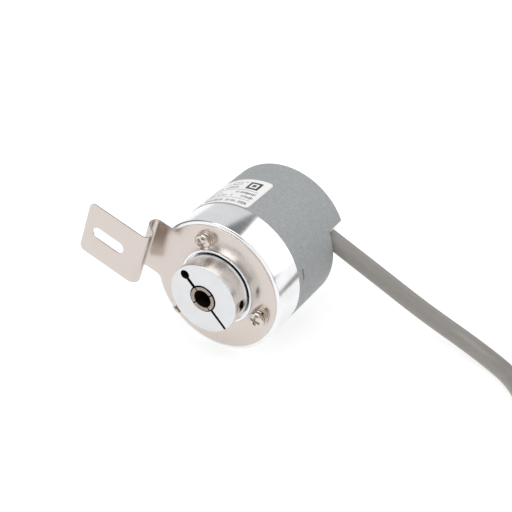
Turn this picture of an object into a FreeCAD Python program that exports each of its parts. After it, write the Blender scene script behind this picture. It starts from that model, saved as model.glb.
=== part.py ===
"""Hollow-shaft rotary encoder, 38 mm across, as separate pieces.

Frame: the shaft axis is Y and the clamp collar faces -Y.  The origin is on that axis, on the front
face of the mounting plate.  Z is up, and the encoder lies on its round side.  Millimetres.
Angles are about the shaft axis, from +X towards +Z.
"""
import FreeCAD, Part
import math
import os
import re

import Sketcher
from FreeCAD import Placement, Rotation, Vector

SIZES = {
    # turned flange
    "BodyRadius": 19.0,
    "FlangeRear": 10.3,
    "FrontChamfer": 0.3,
    "BossWall": 0.7,
    "BossClear": 0.63,
    "BossProud": 0.15,
    "RecessFloor": 0.9,
    "LipRadius": 6.9,
    "LipThick": 0.8,
    "FlangeFloor": 6.0,
    "SpigotWall": 1.6,
    "SpigotLength": 3.3,
    "TubeWall": 1.6,
    "TubePast": 0.55,
    # die-cast cap
    "CapWall": 1.4,
    "CapClear": 0.4,
    "RearWall": 1.2,
    "StepDepth": 6.3,
    "StepAngle": -25.2,
    "SkirtSlotAngle": 9.8,
    "SkirtSlotWidth": 3.1,
    "SkirtSlotHeight": 0.6,
    "SkirtSlotPlace": 2.0,
    # label on the cap
    "LabelStart": 0.6,
    "LabelLength": 13.8,
    "LabelFirst": 82.0,
    "LabelSweep": 70.0,
    "LabelThick": 0.08,
    # sheet-metal plate with its folded arm
    "PlateInset": 1.05,
    "PlateThick": 0.3,
    "BossGap": 0.08,
    "ArmAngle": 161.2,
    "ArmWidth": 16.5,
    "ArmReach": 20.35,
    "RootFillet": 2.0,
    "FoldRadius": 2.0,
    "FoldSlope": 33.0,
    "TabDrop": 8.45,
    "TabEnd": 37.0,
    "TabCorner": 1.6,
    "SlotWidth": 3.5,
    "SlotFirst": 26.1,
    "SlotLast": 32.65,
    # plate screws and washers
    "ScrewInset": 3.95,
    "ScrewAngle": 101.2,
    "ScrewRadius": 1.25,
    "ScrewHead": 2.25,
    "ScrewHeadHeight": 1.6,
    "ScrewLength": 6.0,
    "RecessWidth": 0.75,
    "RecessReach": 1.3,
    "RecessDepth": 0.9,
    "SpringWasher": 2.4,
    "SpringThick": 0.6,
    "SpringGap": 0.5,
    "FlatWasher": 2.55,
    "FlatThick": 0.5,
    # hollow shaft
    "BoreRadius": 2.5,
    "BoreEnd": 14.0,
    "BoreChamfer": 0.1,
    "NoseWall": 1.0,
    "NoseProud": 0.25,
    "ShoulderRadius": 4.9,
    "ShoulderFront": 0.6,
    "JournalRadius": 4.0,
    "ShaftPast": 0.2,
    "NoseSlotWidth": 0.35,
    "NoseSlotLength": 5.5,
    "NoseSlotAngle": 36.7,
    # clamp collar and its screw
    "CollarRadius": 9.78,
    "CollarFront": 6.29,
    "CollarRear": 0.3,
    "CollarEdge": 0.2,
    "CollarMouth": 0.35,
    "MouthDepth": 1.2,
    "SlitAngle": 133.4,
    "ReliefCircle": 7.7,
    "ReliefRadius": 1.3,
    "WideSlit": 1.0,
    "NarrowSlit": 0.8,
    "ClampOffset": 6.9,
    "ClampRadius": 1.0,
    "ClampHole": 1.1,
    "ClampSeat": 1.6,
    "ClampReach": 5.6,
    "ClampHead": 1.9,
    "ClampHeadHeight": 2.0,
    "ClampHeadGap": 0.1,
    "ClampSocket": 0.75,
    # ball bearings, 16 mm outside
    "SeatRadius": 8.0,
    "RaceWidth": 5.0,
    "OuterShoulder": 6.7,
    "InnerShoulder": 5.3,
    "BallCircle": 6.0,
    "BallRadius": 1.0,
    "BallGap": 0.02,
    "CageHalf": 1.3,
    "CageThick": 0.6,
    "ShieldThick": 0.25,
    "ShieldGap": 0.08,
    "SealGap": 0.05,
    "SpacerLength": 5.2,
    "SpacerWall": 0.8,
    "SpringRing": 1.0,
    "InnerSpacerWall": 1.0,
    "CirclipThick": 0.8,
    "CirclipDepth": 0.4,
    "CirclipInner": 7.3,
    "CirclipGap": 3.0,
    # sealing ring between flange and cap
    "RingGrooveWidth": 1.2,
    "RingGrooveDepth": 1.0,
    "RingPlace": 0.35,
    "RingSection": 0.5,
    # code disc and its hub
    "HubRadius": 7.0,
    "HubSleeve": 1.7,
    "HubThick": 2.0,
    "HubSpigot": 5.2,
    "DiscGap": 0.4,
    "DiscThick": 0.4,
    "DiscRingThick": 0.6,
    "TrackInset": 1.5,
    "WindowWidth": 0.8,
    "WindowLength": 2.2,
    "HubScrewRadius": 0.8,
    "HubScrewInset": 0.1,
    # light source, board and wiring
    "LedAngle": 205.0,
    "LedHolderGap": 0.1,
    "LedHolderWall": 0.5,
    "LedHolderWidth": 5.0,
    "LedHolderClear": 1.2,
    "LedRadius": 1.2,
    "LedSeat": 3.0,
    "LedProud": 0.7,
    "SensorGap": 1.2,
    "BoardThick": 1.6,
    "BoardGap": 0.5,
    "PostGap": 0.1,
    "PostAngle": 41.2,
    "PostRadius": 1.4,
    "PostStud": 3.0,
    "BoardScrewRadius": 0.8,
    "BoardScrewHead": 1.5,
    "BoardScrewHeadHeight": 1.2,
    "BoardScrewLength": 4.0,
    "ChipSide": 5.0,
    "ChipInner": 4.0,
    "ChipThick": 1.4,
    "ConnectorWidth": 4.0,
    "ConnectorLength": 8.0,
    "ConnectorHeight": 4.8,
    "ConnectorPlace": -1.5,
    # cable, where it passes the step wall of the cap
    "CableRadius": 2.5,
    "CableGap": 0.35,
    "CableHeadroom": 0.25,
    "CableEdge": 1.632,
    "FerruleWall": 0.2,
    "FerruleGap": 0.03,
    "FerruleLength": 2.9,
    "WireRadius": 0.35,
    "WirePitch": 0.8,
    "WireBend": 0.9,
    # how far a cutting tool runs past the piece that it cuts
    "CutPast": 1.0,
}
PLATE_SCREWS = 3
BOARD_POSTS = 3
BALLS = 9
WINDOWS = 32
WIRES = 5
CHIP_ANGLES = ("200", "260", "320")

# the cable's points after the one inside the cap
CABLE_ROUTE = [
    (29.5, 31.4, -2.8),
    (45.0, 31.6, -10.4),
    (61.0, 31.6, -16.5),
    (76.5, 23.5, -16.5),
    (86.1, 7.4, -16.5),
]
ROUNDING = 0.45  # share of the shorter run that an arc of the cable takes up
COIL_CENTRE = (109.5, 27.0)
COIL_INNER = 18.2
COIL_OUTER = 33.2
COIL_BOTTOM = -19.0
COIL_TOP = -3.8

# stripped cores lying on the coil, from the place above the cable's end
CORE_RADIUS = 0.6
CORE_LENGTH = 20.0
CORE_FROM = 21.5
CORE_AT = 117.0
CORE_HEADING = 190.0
CORE_SPREAD = 9.0
CORE_PITCH = 1.1

ASIDE = 3.0  # where the corners of a sketch wait until their sizes are bound

doc = FreeCAD.newDocument("RotaryEncoder")
sheet = doc.addObject("Spreadsheet::Sheet", "Sizes")
for row, (alias, value) in enumerate(SIZES.items(), start=1):
    sheet.set(f"A{row}", alias)
    sheet.set(f"B{row}", str(value))
    sheet.setAlias(f"B{row}", alias)
doc.recompute()

nodes = {}

# places that several pieces share, as formulas in the names of the sheet
SPIGOT = "(BodyRadius - CapWall)"
SPIGOT_INSIDE = "(BodyRadius - CapWall - SpigotWall)"
TUBE = "(SeatRadius + TubeWall)"
PLATE = "(BodyRadius - PlateInset)"
SCREW_CIRCLE = "(BodyRadius - PlateInset - ScrewInset)"
BOSS = "(BodyRadius - PlateInset - ScrewInset - FlatWasher - BossClear)"
NOSE = "(BoreRadius + NoseWall)"
FRONT_BEARING = "(RecessFloor + LipThick)"
FRONT_BEARING_END = "(RecessFloor + LipThick + RaceWidth)"
REAR_BEARING = "(RecessFloor + LipThick + RaceWidth + SpacerLength)"
CLIP_START = "(RecessFloor + LipThick + 2 * RaceWidth + SpacerLength)"
HUB_FACE = "(RecessFloor + LipThick + 2 * RaceWidth + SpacerLength + HubSleeve)"
DISC_FRONT = "(RecessFloor + LipThick + 2 * RaceWidth + SpacerLength + HubSleeve + HubThick)"
SCREW_FACE = "(FlatThick + SpringThick)"
GROOVE = "(FlangeRear + RingPlace)"
POST_CIRCLE = f"({SPIGOT_INSIDE} - PostRadius - PostGap)"
DISC_EDGE = f"({POST_CIRCLE} - PostRadius - DiscGap)"
TRACK = f"({DISC_EDGE} - TrackInset)"
DISC_REAR = f"({DISC_FRONT} + DiscThick)"
LED_HOLDER_REAR = f"({DISC_FRONT} - LedHolderClear)"
BOARD_FRONT = f"({DISC_REAR} + SensorGap + ChipThick)"
BOARD_REAR = f"({BOARD_FRONT} + BoardThick)"
CAP_SHORT = f"({BOARD_REAR} + ChipThick + CapClear + CapWall)"
CABLE_ALONG = f"({CAP_SHORT} + CableGap + CableRadius)"
CAP_LONG = f"({CABLE_ALONG} + CableRadius + CableHeadroom + RearWall)"
STEP_OUTSIDE = "(BodyRadius - StepDepth)"
STEP_INSIDE = f"({STEP_OUTSIDE} - CapWall)"
CABLE_INSIDE = f"({STEP_INSIDE} - FerruleLength)"
CABLE_SIDE = f"(sqrt(BodyRadius ^ 2 - {STEP_OUTSIDE} ^ 2) - CableRadius - CableEdge)"


def formula(text):
    """Turn a formula in the names of the sheet into one that FreeCAD can bind."""
    return re.sub(r"[A-Z][A-Za-z]+", lambda word: f"Sizes.{word.group(0)}", text)


def size(alias):
    """One value of the sheet, for shapes and counts that need a plain number."""
    return float(sheet.get(alias))


def keep(node, piece):
    """Register a finished piece under its node name."""
    piece.Label = node
    nodes[node] = piece
    return piece


def sketch_on(body, role, name, lift=None):
    """A sketch on one of the body's own origin planes, lifted along the plane's normal."""
    plane = next(item for item in body.Origin.OriginFeatures if item.Role == role)
    sketch = body.newObject("Sketcher::SketchObject", name)
    sketch.AttachmentSupport = [(plane, "")]
    sketch.MapMode = "FlatFace"
    if lift:
        sketch.setExpression("AttachmentOffset.Base.z", formula(lift))
    return sketch


def pin_point(sketch, line, end, across, up):
    """Fix one end of a sketch line by its two distances from the sketch's origin."""
    for kind, axis, text in (("DistanceX", -2, across), ("DistanceY", -1, up)):
        if text == "0":
            sketch.addConstraint(Sketcher.Constraint("PointOnObject", line, end, axis))
            continue
        number = sketch.addConstraint(Sketcher.Constraint(kind, -1, 1, line, end, 1.0))
        sketch.setExpression(f"Constraints[{number}]", formula(text))


def polygon(sketch, corners):
    """A closed outline whose corners are pairs of formulas."""
    count = len(corners)
    turns = [math.tau * k / count for k in range(count)]
    start = [Vector(ASIDE + math.cos(turn), math.sin(turn), 0) for turn in turns]
    lines = [
        sketch.addGeometry(Part.LineSegment(start[k], start[(k + 1) % count]), False) for k in range(count)
    ]
    for k in range(count):
        sketch.addConstraint(Sketcher.Constraint("Coincident", lines[k], 2, lines[(k + 1) % count], 1))
    for line, (across, up) in zip(lines, corners):
        pin_point(sketch, line, 1, across, up)


def turned(name, corners):
    """A piece turned about the shaft axis from its half section: radius, then place along the axis."""
    body = doc.addObject("PartDesign::Body", name)
    sketch = sketch_on(body, "XY_Plane", name + "_section")
    polygon(sketch, corners)
    turn = body.newObject("PartDesign::Revolution", name + "_turn")
    turn.Profile = sketch
    turn.ReferenceAxis = (sketch, ["V_Axis"])
    turn.Angle = 360
    doc.recompute()
    return body


def ring(name, inner, outer, start, end):
    """A plain turned ring."""
    return turned(name, [(inner, start), (outer, start), (outer, end), (inner, end)])


def move(piece, across, along, up):
    """Bind a piece's place to formulas."""
    for letter, text in zip("xyz", (across, along, up)):
        piece.setExpression(f"Placement.Base.{letter}", formula(text))


def polar(radius, angle):
    """The formulas of a point at a radius and an angle about the shaft axis."""
    return f"({radius}) * cos({angle})", f"({radius}) * sin({angle})"


def rod(name, radius, across, start, up, length):
    """A round rod along the shaft axis, from start."""
    piece = doc.addObject("Part::Cylinder", name)
    piece.setExpression("Radius", formula(radius))
    piece.setExpression("Height", formula(length))
    piece.Placement = Placement(Vector(), Rotation(Vector(1, 0, 0), -90))
    move(piece, across, start, up)
    return piece


def outwards(piece, angle, turn, first, side, along):
    """Turn a piece about the shaft axis and set it at a distance out along angle and one to its side."""
    piece.Placement = Placement(Vector(), Rotation(Vector(0, 1, 0), 1))
    piece.setExpression("Placement.Rotation.Angle", formula(f"{turn} - ({angle})"))
    move(
        piece,
        f"({first}) * cos({angle}) - ({side}) * sin({angle})",
        along,
        f"({first}) * sin({angle}) + ({side}) * cos({angle})",
    )


def cross_rod(name, radius, angle, side, along, first, length):
    """A round rod square to the shaft axis: it points outwards along angle, set off sideways by side."""
    piece = doc.addObject("Part::Cylinder", name)
    piece.setExpression("Radius", formula(radius))
    piece.setExpression("Height", formula(length))
    outwards(piece, angle, 90, first, side, along)
    return piece


def block(name, angle, first, last, width, start, length, side="0"):
    """A rectangular block between two distances out along an angle about the shaft axis."""
    piece = doc.addObject("Part::Box", name)
    piece.setExpression("Length", formula(f"({last}) - ({first})"))
    piece.setExpression("Width", formula(length))
    piece.setExpression("Height", formula(width))
    outwards(piece, angle, 0, first, f"({side}) - ({width}) / 2", start)
    return piece


def group(name, pieces):
    """Several separate solids as one piece."""
    together = doc.addObject("Part::Compound", name)
    together.Links = pieces
    return together


def cut(name, base, tools):
    """A piece with the given tools taken away from it."""
    tool = tools[0] if len(tools) == 1 else group(name + "_tools", tools)
    piece = doc.addObject("Part::Cut", name)
    piece.Base = base
    piece.Tool = tool
    return piece


def fuse(name, pieces):
    """Several solids joined into one piece."""
    piece = doc.addObject("Part::MultiFuse", name)
    piece.Shapes = pieces
    piece.Refine = True
    return piece


def angles(first, count):
    """Formulas of count even angles, from the first."""
    return [f"({first} + {360 * k / count})" for k in range(count)]


def flange():
    """Turned flange: boss, bearing tube, spigot with its ring groove, screw and post holes."""
    outline = [
        ("LipRadius", "RecessFloor"),
        (f"{BOSS} - BossWall", "RecessFloor"),
        (f"{BOSS} - BossWall", "-BossProud"),
        (BOSS, "-BossProud"),
        (BOSS, "PlateThick"),
        ("BodyRadius - FrontChamfer", "PlateThick"),
        ("BodyRadius", "PlateThick + FrontChamfer"),
        ("BodyRadius", "FlangeRear"),
        (SPIGOT, "FlangeRear"),
        (SPIGOT, GROOVE),
        (f"{SPIGOT} - RingGrooveDepth", GROOVE),
        (f"{SPIGOT} - RingGrooveDepth", f"{GROOVE} + RingGrooveWidth"),
        (SPIGOT, f"{GROOVE} + RingGrooveWidth"),
        (SPIGOT, "FlangeRear + SpigotLength"),
        (SPIGOT_INSIDE, "FlangeRear + SpigotLength"),
        (SPIGOT_INSIDE, "FlangeFloor"),
        (TUBE, "FlangeFloor"),
        (TUBE, f"{CLIP_START} + CirclipThick + TubePast"),
        ("SeatRadius", f"{CLIP_START} + CirclipThick + TubePast"),
        ("SeatRadius", f"{CLIP_START} + CirclipThick"),
        ("SeatRadius + CirclipDepth", f"{CLIP_START} + CirclipThick"),
        ("SeatRadius + CirclipDepth", CLIP_START),
        ("SeatRadius", CLIP_START),
        ("SeatRadius", FRONT_BEARING),
        ("LipRadius", FRONT_BEARING),
    ]
    holes = []
    for k, angle in enumerate(angles("ScrewAngle", PLATE_SCREWS)):
        across, up = polar(SCREW_CIRCLE, angle)
        depth = f"CutPast + ScrewLength - {SCREW_FACE}"
        holes.append(rod(f"screw_hole_{k}", "ScrewRadius", across, "-CutPast", up, depth))
    for k, angle in enumerate(angles("PostAngle", BOARD_POSTS)):
        across, up = polar(POST_CIRCLE, angle)
        start = "FlangeFloor - PostStud"
        holes.append(rod(f"stud_hole_{k}", "BoardScrewRadius", across, start, up, "PostStud + CutPast"))
    keep("flange_housing", cut("flange_cut", turned("flange_turned", outline), holes))


def cap():
    """Die-cast cap: a cup whose end steps down on the cable side, with the cable hole in the step."""
    past = "2 * BodyRadius"
    outer = rod("cap_outer", "BodyRadius", "0", "FlangeRear", "0", f"{CAP_LONG} - FlangeRear")
    step = block("cap_step", "StepAngle", STEP_OUTSIDE, past, f"2 * ({past})", CAP_SHORT, CAP_LONG)
    below = "FlangeRear - CutPast"
    main = rod("cap_main_room", SPIGOT, "0", below, "0", f"{CAP_SHORT} - CapWall - ({below})")
    hump = rod("cap_hump_room", SPIGOT, "0", below, "0", f"{CAP_LONG} - RearWall - ({below})")
    wall = block("cap_wall", "StepAngle", STEP_INSIDE, past, f"2 * ({past})", "0", CAP_LONG)
    hole = cross_rod(
        "cable_hole", "CableRadius", "StepAngle", CABLE_SIDE, CABLE_ALONG, STEP_INSIDE, "CapWall + CutPast"
    )
    start = "FlangeRear + SkirtSlotPlace"
    inside = f"{SPIGOT_INSIDE} + CutPast"
    slots = [
        block(f"skirt_slot_{k}", angle, inside, past, "SkirtSlotWidth", start, "SkirtSlotHeight")
        for k, angle in enumerate(angles("SkirtSlotAngle", 2))
    ]
    tools = [step, main, cut("cap_hump_cut", hump, [wall]), hole] + slots
    keep("rear_cap", cut("cap_cut", outer, [fuse("cap_tools", tools)]))


def label():
    """Thin label on the skirt of the cap, wrapped round part of it."""
    last = size("LabelFirst") + size("LabelSweep")
    sheets = []
    for name, radius in (("label_outer", "BodyRadius + LabelThick"), ("label_inner", "BodyRadius")):
        piece = rod(name, radius, "0", "FlangeRear + LabelStart", "0", "LabelLength")
        piece.setExpression("Angle", formula("LabelSweep"))
        turn = Rotation(Vector(0, 1, 0), -last) * Rotation(Vector(1, 0, 0), -90)
        piece.Placement = Placement(Vector(), turn)
        move(piece, "0", "FlangeRear + LabelStart", "0")
        sheets.append(piece)
    keep("type_label", cut("label_cut", sheets[0], [sheets[1]]))


def bent_strip(name, centre, first, sweep):
    """One bend of the sheet: part of a ring across the arm, from an angle in the plane of the fold."""
    pair = []
    for side, sign in (("outer", "+"), ("inner", "-")):
        piece = doc.addObject("Part::Cylinder", f"{name}_{side}")
        piece.setExpression("Radius", formula(f"FoldRadius {sign} PlateThick / 2"))
        piece.setExpression("Height", formula("ArmWidth"))
        piece.setExpression("Angle", formula(sweep))
        piece.Placement = Placement(Vector(), Rotation(Vector(0, 0, 1), 1))
        piece.setExpression("Placement.Rotation.Angle", formula(first))
        move(piece, centre[0], centre[1], "-ArmWidth / 2")
        pair.append(piece)
    return cut(name, pair[0], [pair[1]])


def plate():
    """Mounting plate: round sheet whose arm folds back twice into a tab with a long slot.

    The arm is made pointing along +X and the whole plate is turned to its angle at the end.
    """
    half = "ArmWidth / 2"
    middle = "PlateThick / 2"
    slope = "FoldSlope"
    disc = rod("plate_disc", PLATE, "0", "0", "0", "PlateThick")
    arm = block("plate_arm", "0", "0", "ArmReach", "ArmWidth", "0", "PlateThick")
    pieces = [disc, arm]
    corners = []
    out = f"sqrt(({PLATE} + RootFillet) ^ 2 - ({half} + RootFillet) ^ 2)"
    touch = f"(({half} + RootFillet) * {PLATE} / ({PLATE} + RootFillet))"
    pieces.append(block("arm_root", "0", "0", out, f"2 * {touch}", "0", "PlateThick"))
    through = "PlateThick + 2 * CutPast"
    before_tab = "-TabDrop - CutPast"
    for side, sign in (("upper", ""), ("lower", "-")):
        across = f"{sign}({half} + RootFillet)"
        corners.append(rod(f"root_{side}", "RootFillet", out, "-CutPast", across, through))
        corner = block(
            f"tab_{side}", "0", "TabEnd - TabCorner", "TabEnd + CutPast", "TabCorner + CutPast", before_tab,
            through, f"{sign}({half} - TabCorner / 2 + CutPast / 2)",
        )
        inside = f"{sign}({half} - TabCorner)"
        round_off = rod(f"tab_{side}_round", "TabCorner", "TabEnd - TabCorner", before_tab, inside, through)
        corners.append(cut(f"tab_{side}_corner", corner, [round_off]))
    first = ("ArmReach", f"({middle} - FoldRadius)")
    leave = (
        f"(ArmReach + FoldRadius * sin({slope}))",
        f"({middle} - FoldRadius * (1 + cos({slope})))",
    )
    tab_level = f"(TabDrop - {middle})"
    run = f"(({tab_level} + {leave[1]} - FoldRadius * (1 + cos({slope}))) / sin({slope}))"
    second = (
        f"({leave[0]} - {run} * cos({slope}) + FoldRadius * sin({slope}))",
        f"(FoldRadius - {tab_level})",
    )
    pieces.append(bent_strip("first_bend", first, f"{slope} - 90", f"180 - {slope}"))
    pieces.append(bent_strip("second_bend", second, f"90 + {slope}", f"180 - {slope}"))
    back = doc.addObject("Part::Box", "fold_back")
    back.setExpression("Length", formula(run))
    back.setExpression("Width", formula("PlateThick"))
    back.setExpression("Height", formula("ArmWidth"))
    back.Placement = Placement(Vector(), Rotation(Vector(0, 0, 1), 1))
    back.setExpression("Placement.Rotation.Angle", formula(f"180 + {slope}"))
    move(back, f"{leave[0]} - {middle} * sin({slope})", f"{leave[1]} + {middle} * cos({slope})", f"-{half}")
    pieces.append(back)
    pieces.append(block("plate_tab", "0", second[0], "TabEnd", "ArmWidth", "-TabDrop", "PlateThick"))
    holes = [rod("boss_hole", f"{BOSS} + BossGap", "0", "-CutPast", "0", through)]
    for k, angle in enumerate(angles("ScrewAngle - ArmAngle", PLATE_SCREWS)):
        across, up = polar(SCREW_CIRCLE, angle)
        holes.append(rod(f"plate_hole_{k}", "ScrewRadius", across, "-CutPast", up, through))
    for name in ("SlotFirst", "SlotLast"):
        holes.append(rod(f"{name}_end", "SlotWidth / 2", name, before_tab, "0", through))
    holes.append(block("slot_middle", "0", "SlotFirst", "SlotLast", "SlotWidth", before_tab, through))
    piece = cut("plate_cut", fuse("plate_sheet", pieces), [fuse("plate_tools", holes + corners)])
    piece.Placement = Placement(Vector(), Rotation(Vector(0, 1, 0), 1))
    piece.setExpression("Placement.Rotation.Angle", formula("-ArmAngle"))
    keep("mounting_plate", piece)


def plate_fasteners():
    """Three pan-head screws with a cross recess, each over a spring washer and a flat washer."""
    screws, springs, flats = [], [], []
    head_front = f"{SCREW_FACE} + ScrewHeadHeight"
    for k, angle in enumerate(angles("ScrewAngle", PLATE_SCREWS)):
        across, up = polar(SCREW_CIRCLE, angle)
        head = rod(f"screw_head_{k}", "ScrewHead", across, f"-({head_front})", up, "ScrewHeadHeight")
        shank = rod(f"screw_shank_{k}", "ScrewRadius", across, f"-{SCREW_FACE}", up, "ScrewLength")
        start = f"-({head_front}) - CutPast"
        depth = "RecessDepth + CutPast"
        bars = []
        for kind, reach, wide in (
            ("long", "RecessReach", "RecessWidth"),
            ("wide", "RecessWidth / 2", "2 * RecessReach"),
        ):
            low, high = f"{SCREW_CIRCLE} - {reach}", f"{SCREW_CIRCLE} + {reach}"
            bars.append(block(f"recess_{kind}_{k}", angle, low, high, wide, start, depth))
        screws.append(cut(f"screw_{k}", fuse(f"screw_whole_{k}", [head, shank]), bars))
        spring = rod(f"spring_{k}", "SpringWasher", across, f"-{SCREW_FACE}", up, "SpringThick")
        spring_start = f"-{SCREW_FACE} - CutPast"
        through = "SpringThick + 2 * CutPast"
        bore = rod(f"spring_bore_{k}", "ScrewRadius", across, spring_start, up, through)
        gap = block(
            f"spring_gap_{k}", angle, SCREW_CIRCLE, f"{SCREW_CIRCLE} + SpringWasher + CutPast", "SpringGap",
            spring_start, through,
        )
        springs.append(cut(f"spring_washer_{k}", spring, [bore, gap]))
        flat = rod(f"flat_{k}", "FlatWasher", across, "-FlatThick", up, "FlatThick")
        flat_bore = rod(
            f"flat_bore_{k}", "ScrewRadius", across, "-FlatThick - CutPast", up, "FlatThick + 2 * CutPast"
        )
        flats.append(cut(f"flat_washer_{k}", flat, [flat_bore]))
    keep("plate_screws", group("screw_set", screws))
    keep("spring_washers", group("spring_set", springs))
    keep("flat_washers", group("flat_set", flats))


def shaft():
    """Hollow shaft: slotted nose under the collar, shoulder, journal for both bearings and the hub."""
    nose = "-(CollarFront + NoseProud)"
    rear = f"{DISC_REAR} + DiscRingThick + ShaftPast"
    outline = [
        ("BoreRadius + BoreChamfer", nose),
        (NOSE, nose),
        (NOSE, "ShoulderFront"),
        ("ShoulderRadius", "ShoulderFront"),
        ("ShoulderRadius", FRONT_BEARING),
        ("JournalRadius", FRONT_BEARING),
        ("JournalRadius", rear),
        ("0", rear),
        ("0", "BoreEnd"),
        ("BoreRadius", "BoreEnd"),
        ("BoreRadius", f"{nose} + BoreChamfer"),
    ]
    slots = [
        block(
            f"nose_slot_{k}", angle, "0", f"{NOSE} + CutPast", "NoseSlotWidth", f"{nose} - CutPast",
            "NoseSlotLength + CutPast",
        )
        for k, angle in enumerate(angles("NoseSlotAngle", 4))
    ]
    keep("hollow_shaft", cut("shaft_cut", turned("shaft_turned", outline), [fuse("nose_slots", slots)]))


def collar():
    """Split clamp collar with a relief hole and a wide slit across from the clamp slit, and its screw."""
    outline = [
        (f"{NOSE} + CollarMouth", "-CollarFront"),
        ("CollarRadius - CollarEdge", "-CollarFront"),
        ("CollarRadius", "-CollarFront + CollarEdge"),
        ("CollarRadius", "-CollarRear"),
        (NOSE, "-CollarRear"),
        (NOSE, "-CollarFront + MouthDepth"),
        (f"{NOSE} + CollarMouth", "-CollarFront + MouthDepth"),
    ]
    clamp = "(SlitAngle - 90)"
    middle = "-(CollarFront + CollarRear) / 2"
    across, up = polar("ReliefCircle", "SlitAngle")
    start = "-CollarFront - CutPast"
    length = "CollarFront + 2 * CutPast"
    past = "CollarRadius + CutPast"
    hole_start = "-ClampSeat - CutPast"
    tools = [
        rod("relief_hole", "ReliefRadius", across, start, up, length),
        block("wide_slit", "SlitAngle", "0", "ReliefCircle", "WideSlit", start, length),
        block("narrow_slit", "(SlitAngle + 180)", "0", past, "NarrowSlit", start, length),
        cross_rod("clamp_hole", "ClampHole", clamp, "-ClampOffset", middle, hole_start, "2 * CollarRadius"),
        cross_rod(
            "clamp_counterbore", "ClampHead + ClampHeadGap", clamp, "-ClampOffset", middle, f"-({past})",
            f"{past} - ClampSeat",
        ),
    ]
    keep("clamp_collar", cut("collar_cut", turned("collar_turned", outline), [fuse("collar_tools", tools)]))
    top = "-ClampSeat - ClampHeadHeight"
    head = cross_rod("clamp_head", "ClampHead", clamp, "-ClampOffset", middle, top, "ClampHeadHeight")
    shank = cross_rod(
        "clamp_shank", "ClampRadius", clamp, "-ClampOffset", middle, "-ClampSeat", "ClampSeat + ClampReach"
    )
    socket = cross_rod(
        "clamp_socket", "ClampSocket", clamp, "-ClampOffset", middle, f"{top} - CutPast",
        "ClampHeadHeight / 2 + CutPast",
    )
    keep("clamp_screw", cut("clamp_screw_cut", fuse("clamp_screw_whole", [head, shank]), [socket]))


def groove_ring(name, start):
    """A ball track: a torus about the shaft axis at the middle of a bearing."""
    track = doc.addObject("Part::Torus", name)
    track.setExpression("Radius1", formula("BallCircle"))
    track.setExpression("Radius2", formula("BallRadius + BallGap"))
    track.Placement = Placement(Vector(), Rotation(Vector(1, 0, 0), -90))
    move(track, "0", f"{start} + RaceWidth / 2", "0")
    return track


def bearing(side, start):
    """One ball bearing: two races with their tracks, the balls and the cage that spaces them."""
    races = (("outer", "OuterShoulder", "SeatRadius"), ("inner", "JournalRadius", "InnerShoulder"))
    for kind, low, high in races:
        whole = ring(f"{side}_{kind}_ring", low, high, start, f"{start} + RaceWidth")
        track = groove_ring(f"{side}_{kind}_track", start)
        keep(f"{side}_{kind}_race", cut(f"{side}_{kind}_cut", whole, [track]))
    balls, pockets = [], []
    middle = f"{start} + RaceWidth / 2"
    low, high = "BallCircle - CageThick / 2", "BallCircle + CageThick / 2"
    for k, angle in enumerate(angles("0", BALLS)):
        across, up = polar("BallCircle", angle)
        ball = doc.addObject("Part::Sphere", f"{side}_ball_{k}")
        ball.setExpression("Radius", formula("BallRadius"))
        move(ball, across, middle, up)
        balls.append(ball)
        through = "CageThick + 2 * CutPast"
        start_in = f"{low} - CutPast"
        pocket = cross_rod(f"{side}_pocket_{k}", "BallRadius", angle, "0", middle, start_in, through)
        pockets.append(pocket)
    keep(f"{side}_balls", group(f"{side}_ball_set", balls))
    cage = ring(f"{side}_cage_ring", low, high, f"{middle} - CageHalf", f"{middle} + CageHalf")
    keep(f"{side}_cage", cut(f"{side}_cage_cut", cage, pockets))


def bearing_stack():
    """What holds the bearings: seal, shields, spacers, wave spring and the ring in its groove."""
    seal_inner = "ShoulderRadius + SealGap"
    keep("dust_seal", ring("seal_ring", seal_inner, "LipRadius", "RecessFloor", f"{FRONT_BEARING} - SealGap"))
    shields = []
    for k, start in enumerate((FRONT_BEARING, REAR_BEARING)):
        for side, place in (("front", start), ("rear", f"{start} + RaceWidth - ShieldThick")):
            inner = "InnerShoulder + ShieldGap"
            name = f"shield_{k}_{side}"
            shields.append(ring(name, inner, "OuterShoulder", place, f"{place} + ShieldThick"))
    keep("bearing_shields", group("shield_set", shields))
    journal = "JournalRadius + InnerSpacerWall"
    keep("inner_spacer", ring("spacer_in", "JournalRadius", journal, FRONT_BEARING_END, REAR_BEARING))
    inside = "SeatRadius - SpacerWall"
    spring = f"{REAR_BEARING} - SpringRing"
    keep("outer_spacer", ring("spacer_out", inside, "SeatRadius", FRONT_BEARING_END, spring))
    keep("wave_spring", ring("spring_ring", inside, "SeatRadius", spring, REAR_BEARING))
    outer = "SeatRadius + CirclipDepth"
    clip = ring("clip_ring", "CirclipInner", outer, CLIP_START, f"{CLIP_START} + CirclipThick")
    gap = block("clip_gap", "90", "0", f"{outer} + CutPast", "CirclipGap", CLIP_START, "CirclipThick")
    keep("bearing_circlip", cut("clip_cut", clip, [gap]))
    seal = doc.addObject("Part::Torus", "cap_seal")
    seal.setExpression("Radius1", formula(f"{SPIGOT} - RingSection"))
    seal.setExpression("Radius2", formula("RingSection"))
    seal.Placement = Placement(Vector(), Rotation(Vector(1, 0, 0), -90))
    move(seal, "0", f"{GROOVE} + RingGrooveWidth / 2", "0")
    keep("cap_o_ring", seal)


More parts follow.
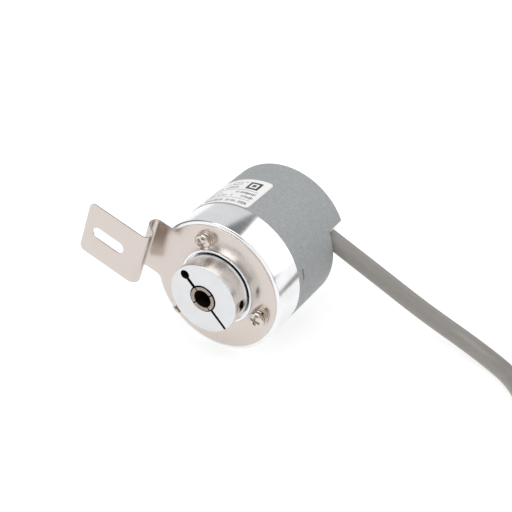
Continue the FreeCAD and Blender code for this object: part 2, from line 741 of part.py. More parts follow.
def disc():
    """Code disc between its hub and a clamp ring, and the hub's screw."""
    end = f"{DISC_REAR} + DiscRingThick"
    outline = [
        ("JournalRadius", CLIP_START),
        ("InnerShoulder - ShieldGap", CLIP_START),
        ("InnerShoulder - ShieldGap", HUB_FACE),
        ("HubRadius", HUB_FACE),
        ("HubRadius", DISC_FRONT),
        ("HubSpigot", DISC_FRONT),
        ("HubSpigot", end),
        ("JournalRadius", end),
    ]
    middle = f"{HUB_FACE} + HubThick / 2"
    reach = "HubRadius - JournalRadius"
    hole = cross_rod(
        "hub_screw_hole", "HubScrewRadius", "90", "0", middle, "JournalRadius - CutPast",
        f"{reach} + 2 * CutPast",
    )
    keep("disc_hub", cut("hub_cut", turned("hub_turned", outline), [hole]))
    pin_length = f"{reach} - HubScrewInset"
    pin = cross_rod("hub_pin", "HubScrewRadius", "90", "0", middle, "JournalRadius", pin_length)
    keep("hub_screw", pin)
    windows = [
        block(
            f"window_{k}", angle, f"{TRACK} - WindowLength / 2", f"{TRACK} + WindowLength / 2",
            "WindowWidth", DISC_FRONT, "DiscThick",
        )
        for k, angle in enumerate(angles("0", WINDOWS))
    ]
    whole = ring("disc_whole", "HubSpigot", DISC_EDGE, DISC_FRONT, DISC_REAR)
    keep("code_disc", cut("disc_cut", whole, windows))
    keep("disc_ring", ring("clamp_ring", "HubSpigot", "HubRadius", DISC_REAR, end))


def electronics():
    """Light source in front of the disc, and behind it the board with its sensor, posts and wiring."""
    inner, outer = f"{TUBE} + LedHolderGap", f"{TRACK} + LedRadius + LedHolderWall"
    length = f"{LED_HOLDER_REAR} - FlangeFloor"
    holder = block("holder_block", "LedAngle", inner, outer, "LedHolderWidth", "FlangeFloor", length)
    across, up = polar(TRACK, "LedAngle")
    seat_start = f"{LED_HOLDER_REAR} - LedSeat"
    seat = rod("led_seat", "LedRadius", across, seat_start, up, "LedSeat + CutPast")
    keep("led_holder", cut("holder_cut", holder, [seat]))
    keep("led", rod("led_body", "LedRadius", across, seat_start, up, "LedSeat + LedProud"))
    board = rod("board_disc", f"{SPIGOT} - BoardGap", "0", BOARD_FRONT, "0", "BoardThick")
    holes, posts, screws = [], [], []
    for k, angle in enumerate(angles("PostAngle", BOARD_POSTS)):
        across, up = polar(POST_CIRCLE, angle)
        holes.append(rod(f"board_hole_{k}", "BoardScrewRadius", across, BOARD_FRONT, up, "BoardThick"))
        stud = rod(f"stud_{k}", "BoardScrewRadius", across, "FlangeFloor - PostStud", up, "PostStud")
        post = rod(f"post_body_{k}", "PostRadius", across, "FlangeFloor", up, f"{BOARD_FRONT} - FlangeFloor")
        inside = "BoardScrewLength - BoardThick"
        thread = rod(f"post_bore_{k}", "BoardScrewRadius", across, f"{BOARD_FRONT} - ({inside})", up, inside)
        posts.append(cut(f"post_{k}", fuse(f"post_whole_{k}", [post, stud]), [thread]))
        head = rod(f"board_head_{k}", "BoardScrewHead", across, BOARD_REAR, up, "BoardScrewHeadHeight")
        shank = rod(
            f"board_shank_{k}", "BoardScrewRadius", across, f"{BOARD_REAR} - BoardScrewLength", up,
            "BoardScrewLength",
        )
        screws.append(fuse(f"board_screw_{k}", [head, shank]))
    keep("main_board", cut("board_cut", board, holes))
    keep("board_standoffs", group("post_set", posts))
    keep("board_screws", group("board_screw_set", screws))
    low, high = f"{TRACK} - ChipSide / 2", f"{TRACK} + ChipSide / 2"
    chip_front = f"{BOARD_FRONT} - ChipThick"
    keep("sensor_chip", block("sensor", "LedAngle", low, high, "ChipSide", chip_front, "ChipThick"))
    chips = [
        block(f"chip_{k}", angle, "ChipInner", "ChipInner + ChipSide", "ChipSide", BOARD_REAR, "ChipThick")
        for k, angle in enumerate(CHIP_ANGLES)
    ]
    keep("board_chips", group("chip_set", chips))
    low = "ConnectorPlace - ConnectorWidth / 2"
    high = "ConnectorPlace + ConnectorWidth / 2"
    connector = block(
        "connector", "StepAngle", low, high, "ConnectorLength", BOARD_REAR, "ConnectorHeight", CABLE_SIDE
    )
    keep("wire_connector", connector)


def number(text):
    """The value of a formula in the names of the sheet, for shapes worked out here."""
    return float(sheet.evalExpression(formula(text)))


def outward_point(out, side, along):
    """A point by its distance out along the step's direction, to its side, and along the shaft."""
    angle = math.radians(size("StepAngle"))
    return Vector(
        out * math.cos(angle) - side * math.sin(angle), along, out * math.sin(angle) + side * math.cos(angle)
    )


def rounded_path(points, radii):
    """Straight runs joined by tangent arcs, as one wire."""
    edges = []
    here = points[0]
    for before, corner, after, radius in zip(points, points[1:], points[2:], radii):
        come, go = (corner - before).normalize(), (after - corner).normalize()
        reach = radius * math.tan(come.getAngle(go) / 2)
        start, end = corner - come * reach, corner + go * reach
        bisector = (go - come).normalize()
        height = math.hypot(radius, reach)
        edges.append(Part.LineSegment(here, start).toShape())
        edges.append(Part.Arc(start, corner + bisector * (height - radius), end).toShape())
        here = end
    edges.append(Part.LineSegment(here, points[-1]).toShape())
    return Part.Wire(edges)


def tube_along(wire, radius):
    """A solid round tube along a wire."""
    first = wire.Edges[0]
    start = first.valueAt(first.FirstParameter)
    section = Part.Wire([Part.Circle(start, first.tangentAt(first.FirstParameter), radius).toShape()])
    tube = wire.makePipeShell([section], True, False)
    share = tube.Volume / (math.pi * radius ** 2 * wire.Length)
    print(f"tube volume over section times length: {share:.4f}")
    return tube


def feature(name, shape):
    """A piece whose shape is worked out here."""
    piece = doc.addObject("Part::Feature", name)
    piece.Shape = shape
    piece.Placement = Placement()
    return piece


def wiring():
    """Crimped ferrule behind the step wall and the cores from the cable end down to the connector."""
    sleeve = [
        cross_rod(
            f"ferrule_{name}", radius, "StepAngle", CABLE_SIDE, CABLE_ALONG, CABLE_INSIDE, "FerruleLength"
        )
        for name, radius in (("outer", "CableRadius + FerruleWall"), ("inner", "CableRadius + FerruleGap"))
    ]
    keep("cable_ferrule", cut("ferrule_cut", sleeve[0], [sleeve[1]]))
    cores = []
    along = number(CABLE_ALONG)
    top = number(f"{BOARD_REAR} + ConnectorHeight")
    bend = number(f"({CABLE_ALONG} - {BOARD_REAR} - ConnectorHeight) * WireBend")
    for k in range(WIRES):
        side = number(CABLE_SIDE) + (k - (WIRES - 1) / 2) * size("WirePitch")
        start = outward_point(number(CABLE_INSIDE), side, along)
        corner = outward_point(size("ConnectorPlace"), side, along)
        end = outward_point(size("ConnectorPlace"), side, top)
        path = rounded_path([start, corner, end], [bend])
        cores.append(feature(f"core_{k}", tube_along(path, size("WireRadius"))))
    keep("lead_wires", group("core_set", cores))


def cable():
    """The cable from inside the cap down to the floor, its put-away coil and the stripped ends."""
    start = outward_point(number(CABLE_INSIDE), number(CABLE_SIDE), number(CABLE_ALONG))
    points = [start] + [Vector(*point) for point in CABLE_ROUTE]
    radii = []
    for before, corner, after in zip(points, points[1:], points[2:]):
        come, go = corner - before, after - corner
        radii.append(ROUNDING * min(come.Length, go.Length) / math.tan(come.getAngle(go) / 2))
    print("cable starts at", [round(value, 3) for value in start])
    print("cable arc radii:", [round(radius, 1) for radius in radii])
    path = rounded_path(points, radii)
    print(f"cable tube length: {path.Length:.1f}")
    keep("cable", feature("cable_tube", tube_along(path, size("CableRadius"))))
    place = Vector(COIL_CENTRE[0], COIL_CENTRE[1], COIL_BOTTOM)
    height = COIL_TOP - COIL_BOTTOM
    whole = Part.makeCylinder(COIL_OUTER, height, place)
    keep("cable_coil", feature("coil_ring", whole.cut(Part.makeCylinder(COIL_INNER, height, place))))


def wire_ends():
    """Stripped cores fanned out on top of the coil."""
    place = Vector(COIL_CENTRE[0], COIL_CENTRE[1], COIL_TOP + CORE_RADIUS)
    around = math.radians(CORE_AT)
    root = place + Vector(math.cos(around), math.sin(around), 0) * CORE_FROM
    heading = math.radians(CORE_HEADING)
    aside = Vector(-math.sin(heading), math.cos(heading), 0)
    cores = []
    for k in range(WIRES):
        step = k - (WIRES - 1) / 2
        turned_to = heading + math.radians(CORE_SPREAD) * step
        along = Vector(math.cos(turned_to), math.sin(turned_to), 0)
        cores.append(Part.makeCylinder(CORE_RADIUS, CORE_LENGTH, root + aside * step * CORE_PITCH, along))
    keep("wire_ends", feature("stripped_cores", cores[0].multiFuse(cores[1:])))


def main():
    """Build every piece, check it and write it out."""
    flange()
    cap()
    label()
    plate()
    plate_fasteners()
    shaft()
    collar()
    bearing("front", FRONT_BEARING)
    bearing("rear", REAR_BEARING)
    bearing_stack()
    disc()
    electronics()
    wiring()
    cable()
    wire_ends()
    doc.recompute()
    for item in doc.Objects:
        if any(word in item.State for word in ("Invalid", "Error")):
            raise RuntimeError(f"{item.Name} failed: {item.State}")
    os.makedirs("parts", exist_ok=True)
    for node, piece in nodes.items():
        shape = piece.Shape
        if shape.isNull() or not shape.isValid() or not shape.Solids:
            raise RuntimeError(f"{node} has no valid solid")
        print(f"{node}: {len(shape.Solids)} solid(s), {shape.Volume:.1f} mm3")
        shape.exportStep(f"parts/{node}.step")
    print(f"{len(nodes)} nodes")


main()
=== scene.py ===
"""Looks of a hollow-shaft rotary encoder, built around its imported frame.

The shaft axis is Y, the clamp collar faces -Y and the origin lies on the axis at the front face of
the mounting plate.  Sizes in the classes are millimetres and angles are degrees about the shaft
axis, from +X towards +Z, as in the frame.  Meshes are scaled to metres as they are made.
"""

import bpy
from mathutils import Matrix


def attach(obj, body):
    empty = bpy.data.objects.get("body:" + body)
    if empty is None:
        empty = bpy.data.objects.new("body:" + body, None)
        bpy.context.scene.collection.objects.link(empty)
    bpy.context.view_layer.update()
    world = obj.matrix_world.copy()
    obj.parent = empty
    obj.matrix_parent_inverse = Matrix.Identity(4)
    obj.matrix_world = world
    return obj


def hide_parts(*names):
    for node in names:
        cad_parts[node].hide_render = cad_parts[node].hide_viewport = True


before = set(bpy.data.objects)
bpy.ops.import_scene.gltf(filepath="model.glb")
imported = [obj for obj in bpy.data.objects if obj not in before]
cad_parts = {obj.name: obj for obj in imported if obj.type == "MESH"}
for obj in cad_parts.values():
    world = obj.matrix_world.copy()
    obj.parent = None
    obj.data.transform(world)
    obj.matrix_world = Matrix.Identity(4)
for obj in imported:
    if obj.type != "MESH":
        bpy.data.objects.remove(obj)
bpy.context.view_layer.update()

import logging
import math
from collections.abc import Sequence
from dataclasses import dataclass
from enum import Enum

import bmesh
import bpy
import numpy as np
from mathutils import Matrix, Vector
from mathutils.geometry import delaunay_2d_cdt

log = logging.getLogger("encoder")

MM = 0.001
TURN = 2 * math.pi
MERGE = 1e-7
SMOOTH_BELOW = math.radians(32)
PAST = 1.0
NOISE_RANGE = (0.3, 0.7)

Array = np.ndarray
Part = bpy.types.Object
Socket = bpy.types.NodeSocket


class Body(Enum):
    """Bodies of the frame that the pieces ride on."""

    HOUSING = "housing"
    SHAFT = "shaft"


# ---------------------------------------------------------------- shapes


def rounded(corners: Sequence[tuple[float, float, float]], steps: int = 6) -> Array:
    """Outline with its corners eased.

    Each corner gives way to the curve (1-t)^2 A + 2t(1-t) C + t^2 B, where C is the corner and A and B
    lie on its two runs at the corner's setback.

    Args:
        corners: Two coordinates and a setback for each corner, in order; a setback of 0 keeps it sharp.
        steps: Points on each eased corner.

    Returns:
        The outline's points, one row each.
    """
    data = np.array(corners, float)
    point, setback = data[:, :2], data[:, 2:]
    come = point - np.roll(point, 1, 0)
    go = np.roll(point, -1, 0) - point
    first = point - come / np.linalg.norm(come, axis=1, keepdims=True) * setback
    last = point + go / np.linalg.norm(go, axis=1, keepdims=True) * setback
    t = np.linspace(0, 1, steps)[None, :, None]
    curve = (1 - t) ** 2 * first[:, None] + 2 * t * (1 - t) * point[:, None] + t**2 * last[:, None]
    curve = curve.reshape(-1, 2)
    step = np.linalg.norm(curve - np.roll(curve, 1, 0), axis=1)
    step[0] = 1
    return curve[step > 1e-6]


def grid_quads(rows: int, columns: int, wrap_rows: bool, wrap_columns: bool) -> tuple[Array, Array]:
    """Quads of a grid and the grid places of their corners.

    Args:
        rows: Rows of points.
        columns: Points in a row.
        wrap_rows: The last row joins the first.
        wrap_columns: The last column joins the first.

    Returns:
        Point numbers of each quad, and the unwrapped row and column of each of its corners.
    """
    row, column = np.meshgrid(
        np.arange(rows if wrap_rows else rows - 1),
        np.arange(columns if wrap_columns else columns - 1),
        indexing="ij",
    )
    place = np.stack([row, column], -1).reshape(-1, 1, 2) + np.array([[0, 0], [0, 1], [1, 1], [1, 0]])
    return place[..., 0] % rows * columns + place[..., 1] % columns, place


def piece_of(name: str, data: bpy.types.ID) -> Part:
    """Put a mesh, a curve, a light or a camera into the scene as an object at the origin.

    Args:
        name: Name of the piece.
        data: What it shows or holds.

    Returns:
        The object.
    """
    made = bpy.data.objects.new(name, data)
    bpy.context.scene.collection.objects.link(made)
    return made


def finish_mesh(mesh: bpy.types.Mesh, closed: bool = True, smooth: float = SMOOTH_BELOW) -> None:
    """Merge seams and poles, point the faces outwards and shade smoothly below an angle.

    Args:
        mesh: The mesh, which is changed.
        closed: It encloses a space.
        smooth: Angle in radians above which an edge stays sharp.
    """
    shape = bmesh.new()
    shape.from_mesh(mesh)
    bmesh.ops.remove_doubles(shape, verts=shape.verts, dist=MERGE)
    bmesh.ops.dissolve_degenerate(shape, edges=shape.edges, dist=MERGE)
    if closed:
        bmesh.ops.recalc_face_normals(shape, faces=shape.faces)
    shape.to_mesh(mesh)
    shape.free()
    mesh.shade_smooth()
    mesh.set_sharp_from_angle(angle=smooth)


def surface(
    name: str, points: Array, wrap_rows: bool = False, wrap_columns: bool = False, closed: bool = True
) -> Part:
    """A piece whose faces join a grid of points.

    The UV map runs once along the columns, and along the rows by the length of the first column.

    Args:
        name: Name of the piece.
        points: Grid of points in millimetres, rows by columns by 3.
        wrap_rows: The last row joins the first.
        wrap_columns: The last column joins the first.
        closed: The surface encloses a space.

    Returns:
        The piece.
    """
    rows, columns = points.shape[:2]
    quads, place = grid_quads(rows, columns, wrap_rows, wrap_columns)
    mesh = bpy.data.meshes.new(name)
    mesh.from_pydata((points.reshape(-1, 3) * MM).tolist(), [], quads.tolist())
    run = np.linalg.norm(np.diff(points[:, 0], axis=0, append=points[:1, 0]), axis=1)
    along = np.concatenate([[0], np.cumsum(run)]) / max(float(run.sum()), MERGE)
    uv = np.stack([place[..., 1] / columns, along[place[..., 0]]], -1)
    mesh.uv_layers.new(name="grid").data.foreach_set("uv", uv.astype(np.float32).ravel())
    finish_mesh(mesh, closed)
    return piece_of(name, mesh)


def about_shaft(radius: Array | float, angle: Array, along: Array) -> Array:
    """Points at a distance from the shaft axis, an angle about it and a place along it.

    Args:
        radius: Distances from the axis.
        angle: Angles in radians.
        along: Places along the axis.

    Returns:
        The points (r cos a, y, r sin a), along a last axis of their own.
    """
    radius, angle, along = np.broadcast_arrays(radius, angle, along)
    return np.stack([radius * np.cos(angle), along, radius * np.sin(angle)], -1)


def turned(name: str, profile: Array, segments: int = 192, loop: bool = True) -> Part:
    """A piece turned about the shaft axis: x = r cos a, y from the profile, z = r sin a.

    Args:
        name: Name of the piece.
        profile: Radius and place along the axis of each point of the half section.
        segments: Steps round the axis.
        loop: The profile closes on itself instead of starting and ending on the axis.

    Returns:
        The piece.
    """
    points = about_shaft(profile[:, :1], np.arange(segments) * TURN / segments, profile[:, 1:])
    return surface(name, points, wrap_rows=loop, wrap_columns=True)


def rod(name: str, radius: float, start: float, end: float, segments: int = 48) -> Part:
    """A plain round rod on the shaft axis, from start to end along it."""
    profile = np.array([[0, start], [radius, start], [radius, end], [0, end]], float)
    return turned(name, profile, segments, loop=False)


def saw(
    name: str, reach: tuple[float, float], along: tuple[float, float], width: float, angle: float
) -> Part:
    """A block that cuts a slot along a radius.

    Args:
        name: Name of the block.
        reach: Distances from the shaft axis at which it starts and ends.
        along: Places along the axis at which it starts and ends.
        width: Width of the slot.
        angle: Angle of the radius about the shaft axis.

    Returns:
        The block.
    """
    low = np.array([reach[0], along[0], -width / 2])
    high = np.array([reach[1], along[1], width / 2])
    mesh = bpy.data.meshes.new(name)
    shape = bmesh.new()
    bmesh.ops.create_cube(shape, size=1.0)
    shape.to_mesh(mesh)
    shape.free()
    size, middle = (high - low) * MM, (high + low) / 2 * MM
    mesh.transform(Matrix.Translation(Vector(middle)) @ Matrix.Diagonal((*size, 1)))
    return turn_about_shaft(piece_of(name, mesh), angle)


def turn_about_shaft(piece: Part, angle: float) -> Part:
    """Turn a piece's mesh about the shaft axis, from +X towards +Z."""
    piece.data.transform(Matrix.Rotation(-math.radians(angle), 4, "Y"))
    return piece


def shift(piece: Part, across: float, along: float, up: float) -> Part:
    """Move a piece's mesh, in millimetres."""
    piece.data.transform(Matrix.Translation(Vector((across, along, up)) * MM))
    return piece


def on_circle(piece: Part, radius: float, angle: float, along: float = 0.0) -> Part:
    """Set a piece out along +X, then turn it to an angle about the shaft axis."""
    return turn_about_shaft(shift(piece, radius, along, 0), angle)


def outwards(piece: Part) -> Part:
    """Turn a rod that runs along the shaft so that it runs along +X instead."""
    piece.data.transform(Matrix.Rotation(-math.pi / 2, 4, "Z"))
    return piece


def freeze(piece: Part) -> None:
    """Replace a piece's mesh by the result of its modifiers.

    Args:
        piece: The piece with the modifiers.
    """
    bpy.context.view_layer.update()
    mesh = bpy.data.meshes.new_from_object(piece.evaluated_get(bpy.context.evaluated_depsgraph_get()))
    piece.modifiers.clear()
    piece.data = mesh


def thicken(piece: Part, thick: float, offset: float) -> None:
    """Give an open sheet its thickness: offset -1 grows it to one side and 0 to both.

    Args:
        piece: The piece, whose mesh is changed.
        thick: Thickness in millimetres.
        offset: Which way it grows.
    """
    sheet = piece.modifiers.new("thickness", "SOLIDIFY")
    sheet.thickness = thick * MM
    sheet.offset = offset
    freeze(piece)


def ease_edges(piece: Part, width: float, above: float) -> None:
    """Bevel the edges that turn by more than an angle, to a width in millimetres.

    Args:
        piece: The piece, whose mesh is changed.
        width: Width of the bevel in millimetres.
        above: Angle in degrees.
    """
    ease = piece.modifiers.new("edge", "BEVEL")
    ease.width = width * MM
    ease.segments = 2
    ease.limit_method = "ANGLE"
    ease.angle_limit = math.radians(above)
    freeze(piece)


def face_data(piece: Part) -> tuple[Array, Array]:
    """Normal of each face, and its centre in millimetres.

    Args:
        piece: The piece to read.

    Returns:
        The normals and the centres, one row each.
    """
    faces = piece.data.polygons
    normals, centres = np.empty((2, len(faces) * 3), np.float32)
    faces.foreach_get("normal", normals)
    faces.foreach_get("center", centres)
    return normals.reshape(-1, 3), centres.reshape(-1, 3) / MM


def paint(mesh: bpy.types.Mesh, slots: Array) -> None:
    """Give each face its material slot."""
    mesh.polygons.foreach_set("material_index", np.asarray(slots, np.int32))


def carve(piece: Part, cutters: Sequence[Part], edge: float = 0.0) -> Part:
    """Take cutters away from a piece, which uses them up, and ease the edges that this leaves.

    Args:
        piece: The piece to cut.
        cutters: The solids to take away.
        edge: Width of the eased edge in millimetres, or 0 to leave the edges sharp.

    Returns:
        The same piece.
    """
    for cutter in cutters:
        cutting = piece.modifiers.new("cut", "BOOLEAN")
        cutting.object = cutter
        cutting.operation = "DIFFERENCE"
        cutting.solver = "EXACT"
    freeze(piece)
    if edge:
        ease_edges(piece, edge, 50)
    for cutter in cutters:
        bpy.data.objects.remove(cutter)
    piece.data.shade_smooth()
    piece.data.set_sharp_from_angle(angle=SMOOTH_BELOW)
    return piece


def join(name: str, pieces: Sequence[Part]) -> Part:
    """Several solids as one piece.

    Args:
        name: Name of the new piece.
        pieces: The solids, which are used up.

    Returns:
        The new piece.
    """
    shape = bmesh.new()
    for piece in pieces:
        shape.from_mesh(piece.data)
        bpy.data.objects.remove(piece)
    mesh = bpy.data.meshes.new(name)
    shape.to_mesh(mesh)
    shape.free()
    mesh.set_sharp_from_angle(angle=SMOOTH_BELOW)
    return piece_of(name, mesh)


# ---------------------------------------------------------------- finishes


class Nodes:
    """A material's node tree, with short ways to add and join nodes."""

    def __init__(self, name: str) -> None:
        """Start a material that holds one Principled shader.

        Args:
            name: Name of the material.
        """
        self.material = bpy.data.materials.new(name)
        self.material.use_nodes = True
        self.tree = self.material.node_tree
        self.shader = self.tree.nodes["Principled BSDF"]

    def add(self, kind: str, inputs: dict[str, object] | None = None, **settings: object) -> bpy.types.Node:
        """Add a node; an input is a plain value or another node's output.

        Args:
            kind: The node's type without its ShaderNode prefix.
            inputs: Values or sockets by input name or number.
            **settings: Properties of the node itself.

        Returns:
            The node.
        """
        node = self.tree.nodes.new("ShaderNode" + kind)
        for key, value in settings.items():
            setattr(node, key, value)
        for key, value in (inputs or {}).items():
            self.set(node.inputs[key], value)
        return node

    def set(self, socket: Socket, value: object) -> None:
        """Give a socket a plain value, or join another node's output to it.

        Args:
            socket: The input to set.
            value: A number, a colour or an output.
        """
        if isinstance(value, Socket):
            self.tree.links.new(value, socket)
        else:
            socket.default_value = value

    def finish(self, inputs: dict[str, object]) -> bpy.types.Material:
        """Set the shader's inputs by name and hand over the material.

        Args:
            inputs: Values or outputs by input name.

        Returns:
            The material.
        """
        for key, value in inputs.items():
            self.set(self.shader.inputs[key], value)
        return self.material

    def sum(self, kind: str, first: object, second: object) -> Socket:
        """Result of a Math node on two values."""
        return self.add("Math", {0: first, 1: second}, operation=kind).outputs[0]

    def place(self) -> Socket:
        """Object coordinates in millimetres.

        Returns:
            The output that gives them.
        """
        coordinates = self.add("TexCoord").outputs["Object"]
        scaled = self.add("VectorMath", {0: coordinates, "Scale": 1 / MM}, operation="SCALE")
        return scaled.outputs[0]

    def noise(self, where: Socket, size: float, detail: float = 2.0) -> Socket:
        """Noise from 0 to 1 with features of a size in millimetres."""
        return self.add("TexNoise", {"Vector": where, "Scale": 1 / size, "Detail": detail}).outputs[0]

    def lines(self, along: Socket, size: float) -> Socket:
        """Noise along one number, as lines a size apart in millimetres."""
        inputs = {"W": along, "Scale": 1 / size, "Detail": 3.0}
        return self.add("TexNoise", inputs, noise_dimensions="1D").outputs[0]

    def spread(self, value: Socket, middle: float, swing: float) -> Socket:
        """Map the usual range of a noise onto a middle value less and plus a swing.

        Args:
            value: The noise.
            middle: Middle value.
            swing: Change to either side.

        Returns:
            The output that gives it.
        """
        low, high = NOISE_RANGE
        inputs = {"Value": value, "From Min": low, "From Max": high}
        inputs |= {"To Min": middle - swing, "To Max": middle + swing}
        return self.add("MapRange", inputs).outputs[0]

    def tint(self, value: Socket, low: Sequence[float], high: Sequence[float]) -> Socket:
        """Colour between two colours by a noise value.

        Args:
            value: The noise.
            low: Colour at its low end.
            high: Colour at its high end.

        Returns:
            The output that gives it.
        """
        node = self.add("Mix", data_type="RGBA")
        self.set(node.inputs[0], self.spread(value, 0.5, 0.5))
        self.set(node.inputs[6], (*low, 1.0))
        self.set(node.inputs[7], (*high, 1.0))
        return node.outputs[2]

    def bump(self, height: Socket, depth: float) -> Socket:
        """Bump by a height from 0 to 1 over a depth in millimetres."""
        return self.add("Bump", {"Height": height, "Distance": depth * MM, "Strength": 1.0}).outputs[0]


def shade(colour: Sequence[float], share: float) -> tuple[float, ...]:
    """A colour made darker or lighter by a share."""
    return tuple(min(1.0, max(0.0, value * share)) for value in colour)


@dataclass(frozen=True)
class TurnedMetal:
    """Metal cut on a lathe: fine rings round the shaft axis on faces and sides alike."""

    name: str
    colour: tuple[float, float, float]
    roughness: float = 0.2
    ring: float = 0.08
    depth: float = 0.0006
    variation: float = 0.03
    cloud: float = 4.0
    ring_gloss: float = 0.03
    cloud_gloss: float = 0.02

    def material(self) -> bpy.types.Material:
        """The rings are noise along y plus the distance from the axis, so they follow every turned face.

        Returns:
            The material.
        """
        nodes = Nodes(self.name)
        where = nodes.place()
        across, along, up = nodes.add("SeparateXYZ", {0: where}).outputs
        squares = [nodes.sum("POWER", value, 2.0) for value in (across, up)]
        radius = nodes.sum("SQRT", nodes.sum("ADD", *squares), 0.0)
        rings = nodes.lines(nodes.sum("ADD", radius, along), self.ring)
        cloud = nodes.noise(where, self.cloud)
        low, high = shade(self.colour, 1 - self.variation), shade(self.colour, 1 + self.variation)
        broad = nodes.spread(cloud, self.roughness, self.cloud_gloss)
        return nodes.finish(
            {
                "Metallic": 1.0,
                "Base Color": nodes.tint(cloud, low, high),
                "Roughness": nodes.sum("ADD", nodes.spread(rings, 0.0, self.ring_gloss), broad),
                "Normal": nodes.bump(rings, self.depth),
            }
        )


@dataclass(frozen=True)
class Grained:
    """A surface with an even grain: cast and painted metal, moulded plastic, rubber and the like."""

    name: str
    colour: tuple[float, float, float]
    roughness: float
    metallic: float = 0.0
    grain: float = 0.25
    depth: float = 0.01
    mottle: float = 0.05
    cloud: float = 1.2
    stretch: tuple[float, float, float] = (1.0, 1.0, 1.0)
    coat: float = 0.0
    specular: float = 0.5
    gloss: float = 0.04

    def material(self) -> bpy.types.Material:
        """Two noises: a fine one for the grain's bump, and a broad one for colour and gloss.

        Returns:
            The material.
        """
        nodes = Nodes(self.name)
        where = nodes.add("Mapping", {"Vector": nodes.place(), "Scale": self.stretch}).outputs[0]
        grain = nodes.noise(where, self.grain, 4.0)
        cloud = nodes.noise(where, self.cloud, 3.0)
        both = nodes.sum("MULTIPLY", nodes.sum("ADD", grain, cloud), 0.5)
        low, high = shade(self.colour, 1 - self.mottle), shade(self.colour, 1 + self.mottle)
        return nodes.finish(
            {
                "Base Color": nodes.tint(both, low, high),
                "Metallic": self.metallic,
                "Roughness": nodes.spread(cloud, self.roughness, self.gloss),
                "Coat Weight": self.coat,
                "Specular IOR Level": self.specular,
                "Normal": nodes.bump(grain, self.depth),
            }
        )


@dataclass(frozen=True)
class ClearPlastic:
    """Clear or tinted plastic and glass with faint surface waves."""

    name: str
    colour: tuple[float, float, float]
    roughness: float = 0.08
    transmission: float = 0.9
    cloud: float = 1.5
    variation: float = 0.04
    depth: float = 0.004

    def material(self) -> bpy.types.Material:
        """A noise waves the surface and varies the colour a little.

        Returns:
            The material.
        """
        nodes = Nodes(self.name)
        cloud = nodes.noise(nodes.place(), self.cloud)
        return nodes.finish(
            {
                "Base Color": nodes.tint(cloud, shade(self.colour, 1 - self.variation), self.colour),
                "Transmission Weight": self.transmission,
                "Roughness": self.roughness,
                "Normal": nodes.bump(cloud, self.depth),
            }
        )


Finish = TurnedMetal | Grained | ClearPlastic


ALUMINIUM = TurnedMetal("turned_aluminium", (0.86, 0.865, 0.875), 0.17, 0.12, 0.0004)
ALUMINIUM_FACE = TurnedMetal("faced_aluminium", (0.735, 0.74, 0.75), 0.36, 0.05, 0.0008)
COLLAR_SIDE = TurnedMetal("turned_collar", (0.83, 0.83, 0.83), 0.25, 0.06, 0.0009)
# Brighter metal finish for the flat face of the cap's step, lighter than the rest of the cap.
BRIGHT_STEP = TurnedMetal("bright_step_face", (0.92, 0.92, 0.92), 0.45, 0.1, 0.001)
SHAFT_STEEL = TurnedMetal("plated_shaft", (0.37, 0.31, 0.26), 0.22)
BEARING_STEEL = TurnedMetal("bearing_steel", (0.62, 0.63, 0.65), 0.14)
# Near-black finish that paints shade on the walls of slits, holes and bores, where the recesses fall dark.
BORE_SHADE = Grained("painted_recess_shade", (0.012, 0.009, 0.007), 0.5, 0.0, 0.3, 0.002, 0.15, specular=0.06)
BRASS = TurnedMetal("brass", (0.80, 0.62, 0.30), 0.22)
NICKEL = Grained("nickel_plating", (0.66, 0.60, 0.55), 0.14, 1.0, 0.4, 0.003, 0.04)
PLATE_STEEL = Grained(
    "nickel_sheet", (0.66, 0.595, 0.555), 0.25, 1.0, 0.12, 0.0006, 0.02, 3.0, stretch=(1.0, 1.0, 0.12)
)
CAST_GREY = Grained("cast_grey", (0.37, 0.385, 0.385), 0.6, 0.0, 0.26, 0.02, 0.18, 0.8, specular=0.25)
LABEL_FILM = Grained("label_film", (0.90, 0.90, 0.89), 0.35, 0.0, 0.3, 0.002, 0.02)
LABEL_INK = Grained("label_ink", (0.07, 0.062, 0.055), 0.5, 0.0, 0.1, 0.002, 0.10)
SHEATH = Grained("cable_sheath", (0.28, 0.262, 0.243), 0.34, 0.0, 0.35, 0.006, 0.05)
CORE_FINISHES = (
    Grained("core_brown", (0.14, 0.06, 0.03), 0.4),
    Grained("core_white", (0.75, 0.74, 0.71), 0.4),
    Grained("core_blue", (0.03, 0.09, 0.35), 0.4),
    Grained("core_green", (0.03, 0.22, 0.08), 0.4),
    Grained("core_grey", (0.25, 0.25, 0.25), 0.4),
)
RUBBER = Grained("black_rubber", (0.025, 0.025, 0.025), 0.6, 0.0, 0.2, 0.01, 0.2)
BLACK_PLASTIC = Grained("black_plastic", (0.03, 0.03, 0.032), 0.4, 0.0, 0.15, 0.006, 0.15)
WHITE_PLASTIC = Grained("white_plastic", (0.78, 0.76, 0.68), 0.35, 0.0, 0.2, 0.005, 0.03)
SOLDER_MASK = Grained("solder_mask", (0.015, 0.14, 0.06), 0.3, 0.0, 0.5, 0.004, 0.2, 2.0, coat=0.5)
DISC_GLASS = ClearPlastic("disc_glass", (0.75, 0.82, 0.84))
LED_LENS = ClearPlastic("led_lens", (0.55, 0.05, 0.06), 0.1, 0.6)


class Finishes:
    """Materials made once each, and given to pieces and nodes."""

    def __init__(self) -> None:
        """Start with no material made."""
        self.made: dict[str, bpy.types.Material] = {}

    def get(self, finish: Finish) -> bpy.types.Material:
        """The material of a finish.

        Args:
            finish: The finish to look up or make.

        Returns:
            The material.
        """
        if finish.name not in self.made:
            self.made[finish.name] = finish.material()
        return self.made[finish.name]

    def dress(self, piece: Part, *finishes: Finish) -> Part:
        """Give a piece its materials, in slot order.

        Args:
            piece: The piece to dress.
            *finishes: One finish for each slot.

        Returns:
            The same piece.
        """
        if piece.data.materials:
            piece.data.materials.clear()
        for finish in finishes:
            piece.data.materials.append(self.get(finish))
        return piece


